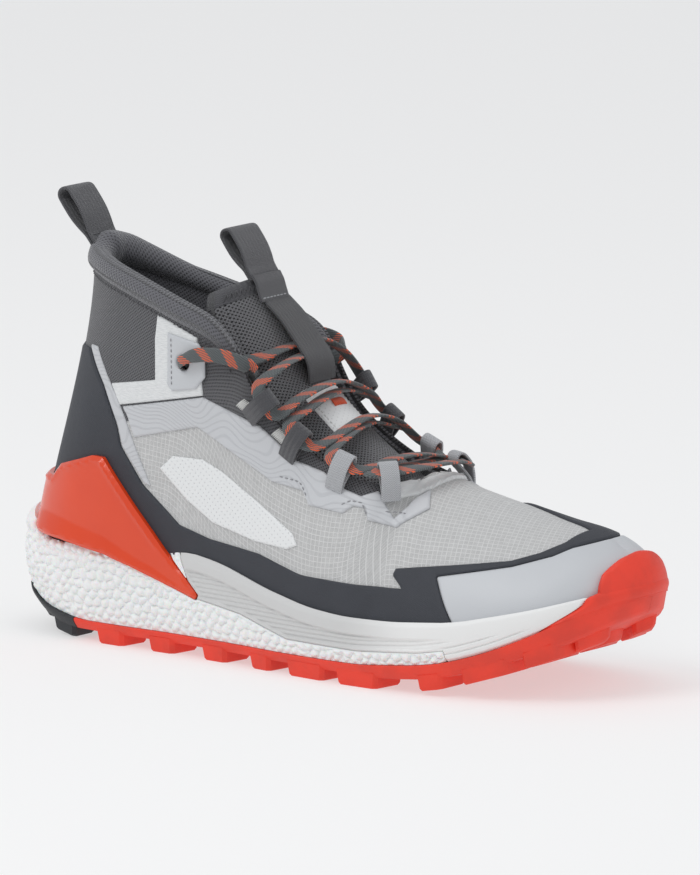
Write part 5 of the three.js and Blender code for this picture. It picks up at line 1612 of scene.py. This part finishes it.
def lace():
    """The flat lace, its face turned away from a line that runs under the throat."""
    path = resampled(catmull_rom(LACE_POINTS), 1.3 / DETAIL)
    core = np.array(LACE_CORE, float)
    middle = np.column_stack([path[:, 0], 0 * path[:, 0], np.interp(path[:, 0], core[:, 0], core[:, 1])])
    along = unit(np.gradient(path, axis=0))
    away = unit(path - middle)
    face = unit(averaged(away - along * (away * along).sum(1, keepdims=True), int(5 * DETAIL)))
    x, z, _ = EYELET
    near_hole = smooth(-np.hypot(path[:, 0] - x, path[:, 2] - z), -11, -4)
    braid = ribbon(path, face, LACE_WIDTH - 1.4 * near_hole, LACE_THICK, 0.7, 14)
    obj = piece("flat_lace", braid, LOOKS["lace"], "rearfoot", ("lace",), 60)


# ------------------------------------------------------------------- stage ----
AIM = np.array([150.0, 0.0, 80.0])
AZIMUTH, ELEVATION, DISTANCE = 35.0, 10.0, 4.0
LENS = 496.0
SHIFT = (0.0306, 0.0399)
FAR_LIMIT = 20.0
LIGHTS_AIM = (0.0, 0.0, 0.08)
FLOOR_REACH = 14.0
FLOOR_COLOR = (0.42, 0.42, 0.42)
FLOOR_ROUGHNESS = 0.9
FLOOR_GLOW = 0.5
SKY_COLOR = (0.95, 0.97, 1.0, 1)
SKY_STRENGTH = 0.6
STUDIO_LIGHTS = [       # name, azimuth, elevation, distance, size, power
    ("key", -20.0, 50.0, 1.9, (0.9, 0.9), 10.0),
    ("fill", 95.0, 30.0, 2.0, (1.2, 1.2), 2.5),
    ("top", 20.0, 86.0, 1.8, (1.2, 0.8), 4.0),
]


def direction(azimuth, elevation):
    a, e = math.radians(azimuth), math.radians(elevation)
    return Vector((math.sin(a) * math.cos(e), -math.cos(a) * math.cos(e), math.sin(e)))


def camera():
    target = Vector((AIM - ORIGIN) * MM)
    back = direction(AZIMUTH, ELEVATION)
    data = bpy.data.cameras.new("camera")
    data.sensor_fit = "HORIZONTAL"
    data.lens = LENS
    data.shift_x, data.shift_y = SHIFT
    data.clip_end = FAR_LIMIT
    obj = bpy.data.objects.new("camera", data)
    obj.location = target + back * DISTANCE
    obj.rotation_euler = back.to_track_quat("Z", "Y").to_euler()
    SHOWN.objects.link(obj)
    bpy.context.scene.camera = obj


def area_light(name, azimuth, elevation, distance, size, power):
    data = bpy.data.lights.new(name, "AREA")
    data.shape = "RECTANGLE"
    data.size, data.size_y = size
    data.energy = power
    obj = bpy.data.objects.new(name, data)
    back = direction(azimuth, elevation)
    obj.location = Vector(LIGHTS_AIM) + back * distance
    obj.rotation_euler = back.to_track_quat("Z", "Y").to_euler()
    SHOWN.objects.link(obj)


def studio():
    """A wide pale floor, soft lights and an even sky."""
    r = FLOOR_REACH
    mesh = bpy.data.meshes.new("floor")
    mesh.from_pydata([(-r, -r, 0), (r, -r, 0), (r, r, 0), (-r, r, 0)], [], [(0, 1, 2, 3)])
    mesh.materials.append(Look("floor", FLOOR_COLOR, FLOOR_ROUGHNESS, Emission_Color=(1, 1, 1, 1),
                               Emission_Strength=FLOOR_GLOW).material)
    floor = bpy.data.objects.new("floor", mesh)
    SHOWN.objects.link(floor)
    for light in STUDIO_LIGHTS:
        area_light(*light)
    world = bpy.data.worlds.new("sky")
    world.use_nodes = True
    sky = world.node_tree.nodes["Background"].inputs
    sky["Color"].default_value = SKY_COLOR
    sky["Strength"].default_value = SKY_STRENGTH
    bpy.context.scene.world = world
    bpy.context.scene.view_settings.view_transform = "Standard"


# -------------------------------------------------------------------- make ----
camera()
studio()
lace()
upper_pieces()
for each_side in (OUTER, INNER):
    side_films(each_side)
    side_stitching(each_side)
collar()
tongue()
tongue_trim()
pull_loops()
loop_base()
webbing_loops()
midsole_wall = midsole()
toe_bumper(midsole_wall)
heel_clip()
outsole()
footbed()
for node_name in ("heel_counter", "toe_puff"):
    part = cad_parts[node_name]
    part.data.materials.clear()
    part.data.materials.append(LOOKS["stiffener"])
